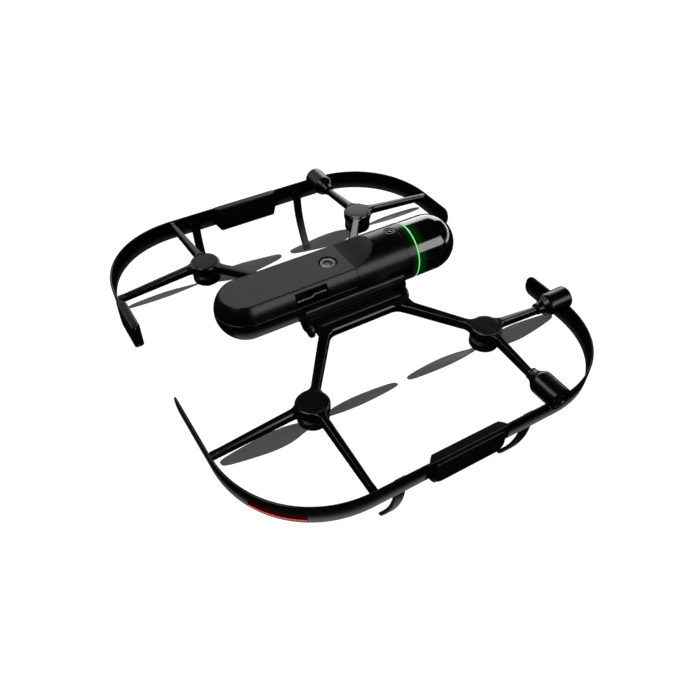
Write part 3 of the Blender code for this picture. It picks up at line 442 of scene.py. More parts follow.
# ------------------------------------------------------------------ dimensions (design coordinates)
HUB_X, HUB_Y, HUB_R, HUB_DEPTH, CAP_R = 0.158, 0.1276, 0.0210, 0.0120, 0.0180
HINGE_X, HINGE_Z, HINGE_R = 0.0465, -0.0030, 0.0060
EAR_REAR, EAR_FRONT = (-0.0630, -0.0560), (0.0685, 0.0740)
PLATE_REAR, PLATE_FRONT = (-0.0710, -0.0660), (0.0745, 0.0785)
ROOT_RISE, PLATE_OUT_X, ARM_SLOPE = 0.0030, 0.0665, 0.746
ARM_ROOT, ARM_HUB, STRUT_HUB, STRUT_END, STRUT_DROP = 0.0074, 0.0058, 0.0052, 0.0040, 0.0116
GUARD_X, GUARD_YF, GUARD_YR, GUARD_T, SLANT = 0.2935, 0.2566, 0.2576, 0.0026, 0.0018
G_TOP, G_BOT = -0.0105, -0.0400
CORNER_N = 2.11
POD_Z, POD_R = -0.0110, 0.0157
BODY_Z, BODY_R, REAR_C, BODY_FRONT, FLAT_Z = 0.0290, 0.0396, -0.1350, 0.0885, 0.0546
SPLIT, SPLIT_Y, GAP = 0.0330, 0.0095, 0.0005
ARM_DEG = math.degrees(math.atan(ARM_SLOPE))
KA = math.cos(math.radians(ARM_DEG))


# ------------------------------------------------------------------ wing frames
def rot(p, deg):
    c, s = math.cos(math.radians(deg)), math.sin(math.radians(deg))
    return (c * p[0] - s * p[1], s * p[0] + c * p[1])


def hub_between(centre, ang_a, half_a, ang_b, half_b, rf=0.0125):
    def fil(half, left):
        cy = half + rf
        cx = math.sqrt((HUB_R + rf) ** 2 - cy ** 2)
        a_hub = math.degrees(math.atan2(-cy, -cx))
        pts = arc(cx, cy, rf, -90.0, a_hub, 9)
        return pts if left else [(x, -y) for x, y in pts][::-1]
    out = [rot(p, ang_a) for p in fil(half_a, True)]
    b = [rot(p, ang_b) for p in fil(half_b, False)]
    t0 = math.degrees(math.atan2(out[-1][1], out[-1][0]))
    t1 = math.degrees(math.atan2(b[0][1], b[0][0]))
    while t1 < t0:
        t1 += 360.0
    out += arc(0, 0, HUB_R, t0, t1, max(3, int((t1 - t0) / 5.0)))[1:-1]
    out += b
    return [(centre[0] + x, centre[1] + y) for x, y in out]


def strut_end(centre, ang, length):
    pts = [rot((length, -STRUT_END), ang), rot((length, STRUT_END), ang)]
    return [(centre[0] + x, centre[1] + y) for x, y in pts]


def wing_loop(fx, fy):
    cr, cf = (HUB_X, -HUB_Y), (HUB_X, HUB_Y)
    a_r, a_f = 180.0 - ARM_DEG, 180.0 + ARM_DEG
    side_end = GUARD_X - GUARD_T / 2 - HUB_X
    rear_end = GUARD_YR - GUARD_T / 2 - HUB_Y
    root_rear = fillet([(HINGE_X, EAR_REAR[0]), (0.0591, EAR_REAR[0]),
                        (0.0850, -(HUB_Y - ARM_SLOPE * (HUB_X - 0.0850) + 0.0070 / KA))], 0.014, 8)[:-1]
    y_c = HUB_Y - ARM_SLOPE * (HUB_X - PLATE_OUT_X) - ARM_ROOT / KA
    inner_rear = fillet([(0.1000, -(HUB_Y - ARM_SLOPE * (HUB_X - 0.1000) - 0.0066 / KA)),
                         (PLATE_OUT_X, -y_c), (PLATE_OUT_X, 0.0)], 0.016, 10)[1:-1]
    inner_front = [(x, -y) for x, y in inner_rear][::-1]
    root_front = fillet([(0.1000, HUB_Y - ARM_SLOPE * (HUB_X - 0.1000) + 0.0068 / KA), (0.0738, EAR_FRONT[1]),
                         (HINGE_X, EAR_FRONT[1])], 0.016, 8)[1:]
    pts = list(root_rear)
    pts += hub_between(cr, a_r, ARM_HUB, 270.0, STRUT_HUB)
    pts += strut_end(cr, 270.0, rear_end)
    pts += hub_between(cr, 270.0, STRUT_HUB, 360.0, STRUT_HUB)
    pts += strut_end(cr, 0.0, side_end)
    pts += hub_between(cr, 0.0, STRUT_HUB, a_r, ARM_HUB)
    pts += inner_rear + inner_front
    pts += hub_between(cf, a_f, ARM_HUB, 360.0, STRUT_HUB)
    pts += strut_end(cf, 0.0, fx - HUB_X)
    pts += hub_between(cf, 0.0, STRUT_HUB, 90.0, STRUT_HUB)
    pts += strut_end(cf, 90.0, fy - HUB_Y)
    pts += hub_between(cf, 90.0, STRUT_HUB, a_f, ARM_HUB)
    pts += root_front
    nx = HINGE_X + 0.0068
    pts += [(HINGE_X, EAR_FRONT[0]), (nx, EAR_FRONT[0]), (nx, EAR_REAR[1]), (HINGE_X, EAR_REAR[1])]
    return densify(pts, 0.0045)


def wing_levels(x, y):
    ay = abs(y)
    dx, dy = x - HUB_X, ay - HUB_Y
    if dx > 0.024 and abs(dy) < 0.012:
        t = (dx - 0.024) / 0.108
        return -STRUT_DROP * t, -HUB_DEPTH - 0.0095 * t
    if dy > 0.024 and abs(dx) < 0.012:
        t = (dy - 0.024) / 0.105
        return -STRUT_DROP * t, -HUB_DEPTH - 0.0095 * t
    t = max(0.0, min(1.0, (0.135 - x) / 0.055))
    return ROOT_RISE * t, -HUB_DEPTH + ROOT_RISE * t


def wing_piece(side, tag):
    fx = 0.2520
    fy = 0.2200 if side > 0 else GUARD_YF - GUARD_T / 2
    loop = wing_loop(fx, fy)

    def place(x, y, level):
        zt, zb = wing_levels(x, y)
        z = zt - level[1] if level[0] == "t" else zb + level[1]
        return Vector((side * x, y, z))

    rings = [(0.0012, ("b", 0.0)), (0.0005, ("b", 0.0002)), (0.0001, ("b", 0.0008)), (0.0, ("b", 0.0016)),
             (0.0, ("t", 0.0036)), (0.00006, ("t", 0.0030)), (0.00022, ("t", 0.0026)), (0.0005, ("t", 0.0022)),
             (0.0013, ("t", 0.0010)), (0.0016, ("t", 0.0006)), (0.0020, ("t", 0.00028)), (0.0025, ("t", 0.00008)), (0.0030, ("t", 0.0))]
    holes = [arc(HUB_X, s * HUB_Y, CAP_R + 0.0010, 0, 360, 64)[:-1] for s in (1, -1)]
    bm = bmesh.new()
    add_slab(bm, loop, rings, place, holes)
    for s in (1, -1):
        add_lathe(bm, [(CAP_R + 0.0010, 0.0), (CAP_R + 0.0006, -0.0001), (CAP_R + 0.0003, -0.0004), (CAP_R + 0.0003, -0.0014), (0.0, -0.0014)],
                  (side * HUB_X, s * HUB_Y, 0), "Z", 64)
    for y0, y1 in (EAR_REAR, EAR_FRONT):
        add_lathe(bm, [(0.0030, y1), (0.0052, y1), (0.0056, y1 - 0.0004), (0.0056, y0 + 0.0004), (0.0052, y0), (0.0030, y0)],
                  (side * HINGE_X, 0, HINGE_Z), "Y", 40)
    me = bm_mesh(bm, "wing_%s_frame" % tag, 26.0, 0.000001)
    show("wing_%s_frame" % tag, me, "wing_" + tag, M_FRAME, ("wing_frame_" + tag,))
    for s, fr in ((1, "front"), (-1, "rear")):
        cap = lathe("cap", [(0.0, -0.00005), (0.0110, -0.00008), (0.0168, -0.00012), (0.0172, -0.0002), (0.0175, -0.0005),
                            (0.0175, -0.0013), (0.0, -0.0013)], (side * HUB_X, s * HUB_Y, 0), "Z", 64)
        show("hub_disc_%s_%s" % (fr, tag), cap, "wing_" + tag, M_CAP, ("hub_cap_%s_%s" % (fr, tag),))
    # sockets where the struts meet the band
    bm = bmesh.new()
    ends = [(HUB_X, -(GUARD_YR - GUARD_T / 2), "y"), (GUARD_X - GUARD_T / 2, -HUB_Y, "x")]
    if side < 0:
        ends.append((HUB_X, GUARD_YF - GUARD_T / 2, "y"))
    for ex, ey, ax in ends:
        sy = -1 if ey < 0 else 1
        sec = fillet([(-0.00425, -0.0030), (-0.00425, -0.0090), (0.00425, -0.0090), (0.00425, -0.0030), (0.0024, -0.0002), (-0.0024, -0.0002)],
                     0.0008, 4, closed=True)
        rows = []
        for d, k in ((0.0080, 0.94), (0.0078, 1.0), (0.0060, 1.0), (0.0004, 1.0), (0.0, 1.0)):
            row = []
            for u, w in sec:
                z = -STRUT_DROP * ((0.132 - d - 0.024) / 0.108) + 0.0003 + w * k
                if ax == "y":
                    row.append((side * (ex + u * k), sy * (abs(ey) - d), z))
                else:
                    row.append((side * (ex - d), ey + u * k, z))
            rows.append(row)
        vs = add_grid(bm, rows, wrap=True)
        bm.faces.new(vs[0])
    me = bm_mesh(bm, "strut_sockets_" + tag, 30.0)
    show("strut_sockets_" + tag, me, "wing_" + tag, M_FRAME)


# ------------------------------------------------------------------ guards
def guard_path(tip, seam, y_line):
    b, a = y_line - HUB_Y, GUARD_X - HUB_X
    pts = [(tip + (HUB_X - tip) * i / 20, y_line) for i in range(20)]
    n = 90
    for i in range(n + 1):
        t = math.radians(90.0 * (1.0 - i / n))
        c, s = math.cos(t), math.sin(t)
        pts.append((HUB_X + a * abs(c) ** (2 / CORNER_N), HUB_Y + b * abs(s) ** (2 / CORNER_N)))
    for i in range(1, 9):
        pts.append((GUARD_X, HUB_Y + (seam - HUB_Y) * i / 8))
    return pts


def along(path, s):
    for (x0, y0), (x1, y1) in zip(path, path[1:]):
        d = math.hypot(x1 - x0, y1 - y0)
        if s <= d and d > 0:
            return (x0 + (x1 - x0) * s / d, y0 + (y1 - y0) * s / d)
        s -= d
    return path[-1]


def path_len(path):
    return sum(math.hypot(b[0] - a[0], b[1] - a[1]) for a, b in zip(path, path[1:]))


def tangent_normal(path, s):
    x0, y0 = along(path, max(0.0, s - 0.0015))
    x1, y1 = along(path, s + 0.0015)
    tx, ty = x1 - x0, y1 - y0
    d = math.hypot(tx, ty) or 1.0
    nx, ny = -ty / d, tx / d
    if nx < -1e-9 or ny < -1e-9:
        nx, ny = -nx, -ny
    return nx, ny


def guard_piece(side, sy, tag):
    fr = "front" if sy > 0 else "rear"
    if sy > 0:
        tip, seam, yl, rt = 0.0940, 0.0553, GUARD_YF, 0.0128
    else:
        seam, yl = 0.0628, GUARD_YR
        tip, rt = (0.0545, 0.0070) if side > 0 else (0.1533, 0.0)
    path = guard_path(tip, seam, yl)
    total = path_len(path)
    mid, half = (G_TOP + G_BOT) / 2, (G_TOP - G_BOT) / 2
    ht = GUARD_T / 2
    sec = []
    for k in range(7):
        a = math.radians(180 * k / 6)
        sec.append((ht * math.cos(a) * 1.0, half - 0.0010 + 0.0010 * math.sin(a)))
    for h in (0.6, 0.2, -0.2, -0.6):
        sec.append((-ht, half * h))
    for k in range(7):
        a = math.radians(180 + 180 * k / 6)
        sec.append((ht * math.cos(a), -half + 0.0010 + 0.0010 * math.sin(a)))
    for h in (-0.6, -0.2, 0.2, 0.6):
        sec.append((ht + 0.0003 * (1 - h * h), half * h))
    stations = []
    if rt:
        n = 14
        stations += [rt * (1 - math.cos(math.radians(90 * i / n))) for i in range(n)]
        start = rt
    else:
        start = 0.0
    m = 130
    stations += [start + (total - start) * i / m for i in range(m + 1)]
    skips = []
    bm = bmesh.new()
    run = []
    runs = []
    for s in stations:
        x, y = along(path, s)
        hide = False
        for ax, c in skips:
            if ax == "y" and abs(y - c) < 0.0118 and x > 0.285:
                hide = True
            if ax == "x" and abs(x - c) < 0.0118 and y > 0.250:
                hide = True
        if hide:
            if run:
                runs.append(run)
                run = []
            continue
        k = 1.0
        if rt and s < rt:
            k = max(0.05, (1 - ((rt - s) / rt) ** 2.3) ** (1 / 2.3))
        nx, ny = tangent_normal(path, s)
        kt = 1.0 if k > 0.5 else 0.75 + 0.25 * k / 0.5
        row = []
        for w, h in sec:
            hh = h * k
            ww = w * kt + SLANT / 2 * hh / half
            row.append((side * (x + nx * ww), sy * (y + ny * ww), mid + hh))
        run.append(row)
    if run:
        runs.append(run)
    for r in runs:
        if len(r) < 2:
            continue
        vs = add_grid(bm, r, wrap=True)
        bm.faces.new(vs[0])
        bm.faces.new(vs[-1])
    name = "guard_band_%s_%s" % (fr, tag)
    me = bm_mesh(bm, name, 34.0, 0.0000005)
    me.materials.append(M_GUARD_OUTER_SHEEN)
    me.materials.append(M_GUARD_INNER_SHEEN)
    # Faces turned towards the hub take the copy with the weaker painted floor reflection.
    for pl in me.polygons:
        away = pl.center - Vector((side * 0.1600, 0.0, pl.center.z))
        if pl.normal.dot(away) < 0:
            pl.material_index = 1
    show(name, me, "wing_" + tag, M_GUARD_OUTER_SHEEN, ("guard_%s_%s" % (fr, tag),))
    # small screw countersunk in the inner face at the corner
    cx, cy = along(path, 0.0)
    best = min(range(200), key=lambda i: abs(math.degrees(math.atan2(along(path, total * i / 200)[1] - HUB_Y,
                                                                    along(path, total * i / 200)[0] - HUB_X)) - 33.0))
    s = total * best / 200
    x, y = along(path, s)
    nx, ny = tangent_normal(path, s)
    q = Vector((nx * side, ny * sy, 0)).to_track_quat('Z', 'Y').to_matrix()
    bm = bmesh.new()
    add_lathe(bm, [(0.0, -ht - 0.00002), (0.0007, -ht - 0.00005), (0.0011, -ht - 0.0002), (0.0014, -ht - 0.0001), (0.0015, -ht + 0.0002), (0.0, -ht + 0.0003)],
              (0, 0, 0), "Z", 20)
    bmesh.ops.transform(bm, matrix=Matrix.Translation((side * x, sy * y, mid + 0.001)) @ q.to_4x4(), verts=bm.verts)
    show("band_screw_%s_%s" % (fr, tag), bm_mesh(bm, "band_screw", 30.0), "wing_" + tag, M_DULL_BLACK_AND_SLOT_SHADE)
    return path


# ------------------------------------------------------------------ camera pods
def pod_piece(name, node, lens_node, at, axis, start, end, body):
    L = end
    prof = [(0.0, L - 0.0036), (0.0108, L - 0.0036), (0.0112, L - 0.0034), (0.0118, L - 0.0006), (0.0121, L - 0.0002), (0.0126, L),
            (0.0145, L), (0.0152, L - 0.0002), (0.0156, L - 0.0008), (POD_R, L - 0.0016)]
    body_side = fillet([(POD_R, L - 0.0020), (POD_R, start + 0.0135), (0.0090, start + 0.0050), (0.0076, start - 0.0002)],
                       [0, 0.0095, 0.0100, 0], 16)
    prof += body_side
    prof += [(0.0079, start - 0.0005), (0.0080, start - 0.0012), (0.0080, start - 0.0024), (0.0077, start - 0.0030), (0.0066, start - 0.0032), (0.0, start - 0.0032)]
    me = lathe(name, prof, at, axis, 80, angle=32.0)
    show(name, me, body, M_POD, (node,))
    # retaining ring and lens
    ring = [(0.0088, L - 0.0032), (0.0090, L - 0.0020), (0.0096, L - 0.0017), (0.0103, L - 0.0019), (0.0107, L - 0.0028), (0.0107, L - 0.0035), (0.0088, L - 0.0035)]
    show(name + "_ring", lathe(name + "_ring", ring, at, axis, 64, closed=True), body, M_BODY)
    lens = [(0.0, L - 0.0012), (0.0025, L - 0.0013), (0.0050, L - 0.0017), (0.0070, L - 0.0023), (0.0086, L - 0.0031), (0.0086, L - 0.0036), (0.0, L - 0.0036)]
    show(name + "_lens", lathe(name + "_lens", lens, at, axis, 64), body, M_LENS, (lens_node,))
    iris = [(0.0034, L - 0.00118), (0.0037, L - 0.00105), (0.0042, L - 0.00118), (0.0042, L - 0.0016), (0.0034, L - 0.0016)]
    show(name + "_iris", lathe(name + "_iris", iris, at, axis, 48, closed=True), body, M_METAL)


# ------------------------------------------------------------------ radar modules
def radar_piece(name, node, cover_node, lo, hi, slo, shi, centre, along_x, sign, body, w_out):
    z0, z1 = G_BOT - 0.0100, G_TOP + 0.0003
    w_in = -0.0085 if cover_node else -0.0074
    rc = 0.0014 if cover_node else 0.0036
    ht = GUARD_T / 2

    def sec(w0, w1, zb, zt, lean, r=0.0012):
        pts = fillet([(w0, zb), (w1, zb), (w1, zt), (w0, zt)], r, 5, closed=True)
        return [(w + lean * (z - (zb + zt) / 2) / ((zt - zb) / 2), z) for w, z in pts]

    c = 0.0075
    st = [(slo, sec(-ht, ht, G_BOT, G_TOP, SLANT / 2)), (lo + 0.0004, sec(-ht, ht, G_BOT, G_TOP, SLANT / 2)),
          (lo + 0.0008, sec(-ht - 0.0006, ht + 0.0005, G_BOT - 0.0006, G_TOP, 0.0006)),
          (lo + 0.0022, sec(-0.0035, w_out - 0.0004, G_BOT - 0.0030, z1 - 0.0002, 0.0)),
          (lo + c - 0.0008, sec(w_in + 0.0006, w_out - 0.0001, z0 + 0.0010, z1, 0.0, rc)),
          (lo + c + 0.0004, sec(w_in, w_out, z0 + 0.0002, z1, 0.0, rc)),
          (lo + c + 0.0020, sec(w_in, w_out, z0, z1, 0.0, rc))]
    st += [(lo + hi - u, s) for u, s in st[::-1][:-1]]
    st.append((shi, sec(-ht, ht, G_BOT, G_TOP, SLANT / 2)))
    bm = bmesh.new()
    rows = []
    for u, s in st:
        row = []
        for w, z in s:
            row.append((u, centre + sign * w, z) if along_x else (centre + sign * w, u, z))
        rows.append(row)
    vs = add_grid(bm, rows, wrap=True)
    bm.faces.new(vs[0])
    bm.faces.new(vs[-1])
    me = bm_mesh(bm, name, 24.0)
    show(name, me, body, M_RADAR, (node,))
    if not cover_node:
        cover_node = None
    # outer cover, a pill with a rounded rim
    zc0, zc1 = z0 + 0.0014, z1 - 0.0042
    r = 0.0128
    u0, u1 = lo + 0.0034, hi - 0.0034
    base = w_out + 0.0001 if cover_node else w_out - 0.0011
    thick = 0.0026 if cover_node else 0.0010
    loop = arc(u1 - r, zc1 - r, r, 90, 0, 12) + arc(u1 - r, zc0 + r, r, 0, -90, 12) + arc(u0 + r, zc0 + r, r, -90, -180, 12) + arc(u0 + r, zc1 - r, r, 180, 90, 12)
    loop = loop[::-1]

    def place(x, y, level):
        w = base + level
        return Vector((x, centre + sign * w, y)) if along_x else Vector((centre + sign * w, x, y))

    bm = bmesh.new()
    rings = [(0.0004, 0.0), (0.0, 0.0003), (0.0, thick * 0.45), (0.0004, thick * 0.75), (0.0010, thick * 0.93), (0.0018, thick)]
    add_slab(bm, loop, rings, place)
    me = bm_mesh(bm, name + "_cover", 30.0)
    show(name + "_cover", me, body, M_RADAR, (cover_node,) if cover_node else ())
    # small slot near the rear end, drawn as a flat dark mark: painted shade standing in for its depth
    bm = bmesh.new()
    us = u0 + 0.0210
    zs = (zc0 + zc1) / 2 + 0.0005
    sl = arc(us + 0.0030, zs, 0.0010, -90, 90, 8) + arc(us - 0.0030, zs, 0.0010, 90, 270, 8)
    add_slab(bm, sl, [(0.0, thick - 0.0004), (0.0, thick - 0.00002), (0.0002, thick + 0.00004)], place)
    show(name + "_slot", bm_mesh(bm, name + "_slot", 30.0), body, M_DULL_BLACK_AND_SLOT_SHADE)


# ------------------------------------------------------------------ legs
def leg_piece(side, y, tag, fr):
    x_out = GUARD_X - GUARD_T / 2 - SLANT / 2 - 0.0003
    t = 0.0058
    n = 26
    x0 = x_out - t / 2
    ground = -0.1210
    cl = []
    for i in range(n + 1):
        u = i / n
        cl.append((x0 + (0.2600 - x0) * (u ** 1.75), -0.0420 + (ground + 0.0420) * u))
    outer = [(x_out, -0.0205), (x_out, -0.0240), (x_out, -0.0330), (x_out, -0.0400)]
    inner = [(x_out - 0.0026, -0.0205), (x_out - 0.0034, -0.0240), (x_out - 0.0040, -0.0330), (x_out - t, -0.0400)]
    for i in range(1, n + 1):
        x, z = cl[i]
        px, pz = cl[i - 1]
        dx, dz = x - px, z - pz
        d = math.hypot(dx, dz)
        nx, nz = -dz / d, dx / d
        h = t / 2 * (1.0 - 0.10 * i / n)
        if i < n:
            outer.append((x + nx * h, z + nz * h))
            inner.append((x - nx * h, z - nz * h))
        else:
            outer.append((x + h * 1.04, ground))
            inner.append((x - h * 1.04, ground))
    # cross-sections along the leg: rounded, slightly narrower to the foot
    bm = bmesh.new()
    rows = []
    for k, ((ox, oz), (ix, iz)) in enumerate(zip(outer, inner)):
        f = k / (len(outer) - 1)
        hw = 0.0066 - 0.0006 * smooth(f)
        ex, ez = ix - ox, iz - oz
        L = math.hypot(ex, ez)
        sec = fillet([(0.0, -hw), (L, -hw), (L, hw), (0.0, hw)], min(0.0016, L * 0.3), 5, closed=True)
        rows.append([(side * (ox + ex / L * a), y + b, oz + ez / L * a) for a, b in sec])
    vs = add_grid(bm, rows, wrap=True)
    bm.faces.new(vs[0])
    bm.faces.new(vs[-1])
    name = "leg_strut_%s_%s" % (fr, tag)
    show(name, bm_mesh(bm, name, 34.0), "wing_" + tag, M_LEG, ("leg_%s_%s" % (fr, tag),))
    # clamp plate on the band with two slots
    bm = bmesh.new()
    xi = x_out - 0.0034

    def place(u, v, level):
        return Vector((side * (xi - level), u, v))

    plate = fillet([(y - 0.0088, -0.0350), (y + 0.0088, -0.0350), (y + 0.0088, -0.0205), (y - 0.0088, -0.0205)], 0.0034, 6, closed=True)
    add_slab(bm, plate, [(0.0, -0.0030), (0.0, 0.0004), (0.0003, 0.0008), (0.0008, 0.0010)], place)
    show("leg_clamp_%s_%s" % (fr, tag), bm_mesh(bm, "leg_clamp", 30.0), "wing_" + tag, M_LEG)
    # The two slots are flat dark pills on the plate: painted shade standing in for their depth.
    bm = bmesh.new()
    for zc, hl in ((-0.0242, 0.0048), (-0.0304, 0.0048)):
        sl = arc(y + hl, zc, 0.0014, -90, 90, 8) + arc(y - hl, zc, 0.0014, 90, 270, 8)
        add_slab(bm, sl, [(0.0, 0.0006), (0.0, 0.00105), (0.0003, 0.0011)], place)
    show("leg_slots_%s_%s" % (fr, tag), bm_mesh(bm, "leg_slots", 30.0), "wing_" + tag, M_DULL_BLACK_AND_SLOT_SHADE)


# ------------------------------------------------------------------ motors and propellers
def rotor_piece(side, sy, tag, fr):
    body = "rotor_%s_%s" % (fr, tag)
    at = (side * HUB_X, sy * HUB_Y, 0)
    prof = [(0.0165, -0.0155), (0.0190, -0.0155), (0.0195, -0.0159), (0.0195, -0.0172), (0.0190, -0.0176), (0.0190, -0.0184), (0.0195, -0.0188),
            (0.0195, -0.0280), (0.0193, -0.0292), (0.0186, -0.0304), (0.0172, -0.0311),
            (0.0060, -0.0312), (0.0, -0.0312)]
    show("bell_%s_%s" % (fr, tag), lathe("bell", prof, at, "Z", 72, angle=30.0), body, M_METAL, ("motor_bell_%s_%s" % (fr, tag),))
    # propeller: hub and two twisted blades with rounded tips
    bm = bmesh.new()
    hub = [(0.0, -0.0314), (0.0088, -0.0315), (0.0094, -0.0319), (0.0095, -0.0326), (0.0095, -0.0374), (0.0090, -0.0384), (0.0078, -0.0393),
           (0.0050, -0.0402), (0.0030, -0.0408), (0.0, -0.0410)]
    add_lathe(bm, hub, at, "Z", 48)
    st = [(0.004, 0.0105, 30.0, 0.0030), (0.010, 0.0115, 29.5, 0.0029), (0.018, 0.0145, 28.0, 0.0026), (0.027, 0.0186, 25.5, 0.0023), (0.036, 0.0216, 23.0, 0.0021),
          (0.048, 0.0230, 20.0, 0.0018), (0.060, 0.0229, 17.2, 0.0016), (0.074, 0.0208, 14.8, 0.0015), (0.088, 0.0180, 12.7, 0.0013),
          (0.100, 0.0150, 11.2, 0.0012), (0.110, 0.0120, 10.2, 0.0011), (0.1155, 0.0094, 9.6, 0.0010), (0.1185, 0.0066, 9.2, 0.0009), (0.1198, 0.0032, 9.0, 0.0007)]
    hand = side * sy
    ctr = Vector((at[0], at[1], -0.0350))
    for k in range(2):
        rows = []
        for r, chord, pitch, thick in st:
            up_p, lo_p = [], []
            for j in range(9):
                f = j / 8.0
                px = -0.42 + f
                th = math.sqrt(max(0.0, f)) * (1 - f) * 1.9
                camber = 0.045 * chord * (1 - (2 * f - 0.85) ** 2) * 0.8
                up_p.append((px, camber + thick * 0.5 * th))
                lo_p.append((px, camber - thick * 0.30 * th))
            prof2 = up_p + lo_p[::-1][1:-1]
            a = math.radians(pitch) * hand
            row = []
            for px, z in prof2:
                x = px * chord * hand
                v = Vector((x * math.cos(a) + z * math.sin(a), r, -x * math.sin(a) + z * math.cos(a)))
                row.append(ctr + Matrix.Rotation(math.pi * k, 3, 'Z') @ v)
            rows.append(row)
        vs = add_grid(bm, rows, wrap=True)
        bm.faces.new(vs[-1])
    me = bm_mesh(bm, "prop", 34.0, 0.000001)
    show("prop_%s_%s" % (fr, tag), me, body, M_PROP, ("propeller_%s_%s" % (fr, tag),))
    nut = [(0.0, -0.0424), (0.0022, -0.0423), (0.0034, -0.0418), (0.0038, -0.0410), (0.0038, -0.0402), (0.0, -0.0402)]
    show("prop_nut_%s_%s" % (fr, tag), lathe("nut", nut, at, "Z", 32), body, M_METAL)


# ------------------------------------------------------------------ tail lights
def tail_piece(side, tag):
    path = guard_path(0.150, 0.0625, GUARD_YR)
    total = path_len(path)
    n = 600
    s0 = min((i for i in range(n)), key=lambda i: abs(along(path, total * i / n)[0] - 0.2250)) * total / n
    s1 = min((i for i in range(n) if along(path, total * i / n)[1] > HUB_Y), key=lambda i: abs(along(path, total * i / n)[0] - 0.2735)) * total / n
    out = GUARD_T / 2 + 0.0003
    bm = bmesh.new()
    rows = []
    for i in range(41):
        s = s0 + (s1 - s0) * i / 40
        x, y = along(path, s)
        nx, ny = tangent_normal(path, s)
        row = []
        for w, z in ((out - 0.0006, -0.0346), (out + 0.0001, -0.0344), (out + 0.0003, -0.0341), (out + 0.0003, -0.0321), (out + 0.0001, -0.0318), (out - 0.0006, -0.0316)):
            row.append((side * (x + nx * w), -(y + ny * w), z))
        rows.append(row)
    add_grid(bm, rows)
    win = bmesh.new()
    wr = []
    mid, half = (G_TOP + G_BOT) / 2, (G_TOP - G_BOT) / 2
    for i in range(43):
        s = s0 - 0.002 + (s1 - s0 + 0.004) * i / 42
        x, y = along(path, s)
        nx, ny = tangent_normal(path, s)
        row = []
        for h in (0.42, 0.30, 0.0, -0.3, -0.5, -0.62):
            w = GUARD_T / 2 + 0.0003 * (1 - h * h) + SLANT / 2 * h + (0.00012 if 0 < i < 42 and -0.6 < h < 0.4 else -0.0001)
            row.append((side * (x + nx * w), -(y + ny * w), mid + h * half))
        wr.append(row)
    add_grid(win, wr)
    show("tail_window_" + tag, bm_mesh(win, "tail_window", 40.0), "wing_" + tag, M_TAIL_PAINTED_GLOW)
    show("light_channel_" + tag, bm_mesh(bm, "light_channel", 40.0), "wing_" + tag, M_DULL_BLACK_AND_SLOT_SHADE, ("tail_light_" + tag,))
    bm = bmesh.new()
    count = 26
    for k in range(count):
        s = s0 + (s1 - s0) * (k + 0.5) / count
        x, y = along(path, s)
        nx, ny = tangent_normal(path, s)
        q = Vector((nx * side, -ny, 0)).to_track_quat('Z', 'Y').to_matrix().to_4x4()
        tmp = bmesh.new()
        sl = arc(0.00045, 0, 0.0006, -90, 90, 6) + arc(-0.00045, 0, 0.0006, 90, 270, 6)
        add_slab(tmp, sl, [(0.0, -0.0004), (0.0, 0.0002), (0.0003, 0.0004)], lambda a, b, l: Vector((a, b, l)))
        z = -0.0331
        m = Matrix.Translation((side * (x + nx * (out + 0.0002)), -(y + ny * (out + 0.0002)), z)) @ q
        bmesh.ops.transform(tmp, matrix=m, verts=tmp.verts)
        me0 = bpy.data.meshes.new("tmp")
        tmp.to_mesh(me0)
        tmp.free()
        bm.from_mesh(me0)
        bpy.data.meshes.remove(me0)
    show("tail_leds_" + tag, bm_mesh(bm, "tail_leds", 40.0, 0.0000001), "wing_" + tag, M_RED)


# ------------------------------------------------------------------ build the wings
for side, tag in ((1, "right"), (-1, "left")):
    wing_piece(side, tag)
    guard_piece(side, 1, tag)
    guard_piece(side, -1, tag)
    radar_piece("side_module_" + tag, "side_radar_" + tag, "side_radar_cover_" + tag, -0.0575, 0.0505, -0.0622, 0.0547,
                side * GUARD_X, False, side, "wing_" + tag, 0.0030)
    leg_piece(side, 0.0890, tag, "front")
    leg_piece(side, -0.0920, tag, "rear")
    tail_piece(side, tag)
    pod_piece("side_pod_" + tag, "side_camera_pod_" + tag, "side_camera_lens_" + tag, (0, HUB_Y, POD_Z),
              "X" if side > 0 else "-X", 0.2485, 0.2975, "wing_" + tag)
    for sy, fr in ((1, "front"), (-1, "rear")):
        rotor_piece(side, sy, tag, fr)
pod_piece("front_pod", "front_camera_pod", "front_camera_lens", (HUB_X, 0, POD_Z), "Y", 0.2170, 0.2650, "wing_right")
radar_piece("tail_module", "rear_radar", None, -0.1495, -0.0825, -0.1527, -0.0800, -GUARD_YR, True, -1, "wing_left", 0.0056)


# ------------------------------------------------------------------ body
def stadium(prof_at, ys, turn=48):
    """Rows of points; each row is one profile level swept down the right side,
    round the tail and up the left side."""
    cols = []
    for y in ys:
        cols.append([(r, y2, z) for r, y2, z in prof_at(y)])
    base = prof_at(REAR_C)
    for k in range(1, turn):
        a = -math.pi * k / turn
        cols.append([(r * math.cos(a), REAR_C + r * math.sin(a), z) for r, _, z in base])
    for y in ys[::-1]:
        cols.append([(-r, y2, z) for r, y2, z in prof_at(y)])
    return cols


def split_z(y):
    """Upper edge of the lower shell: level, then a rounded corner up the split."""
    r = 0.0060
    if y <= SPLIT_Y - r:
        return SPLIT
    t = min(1.0, (y - (SPLIT_Y - r)) / r)
    return SPLIT + r - r * math.sqrt(max(0.0, 1 - t * t))


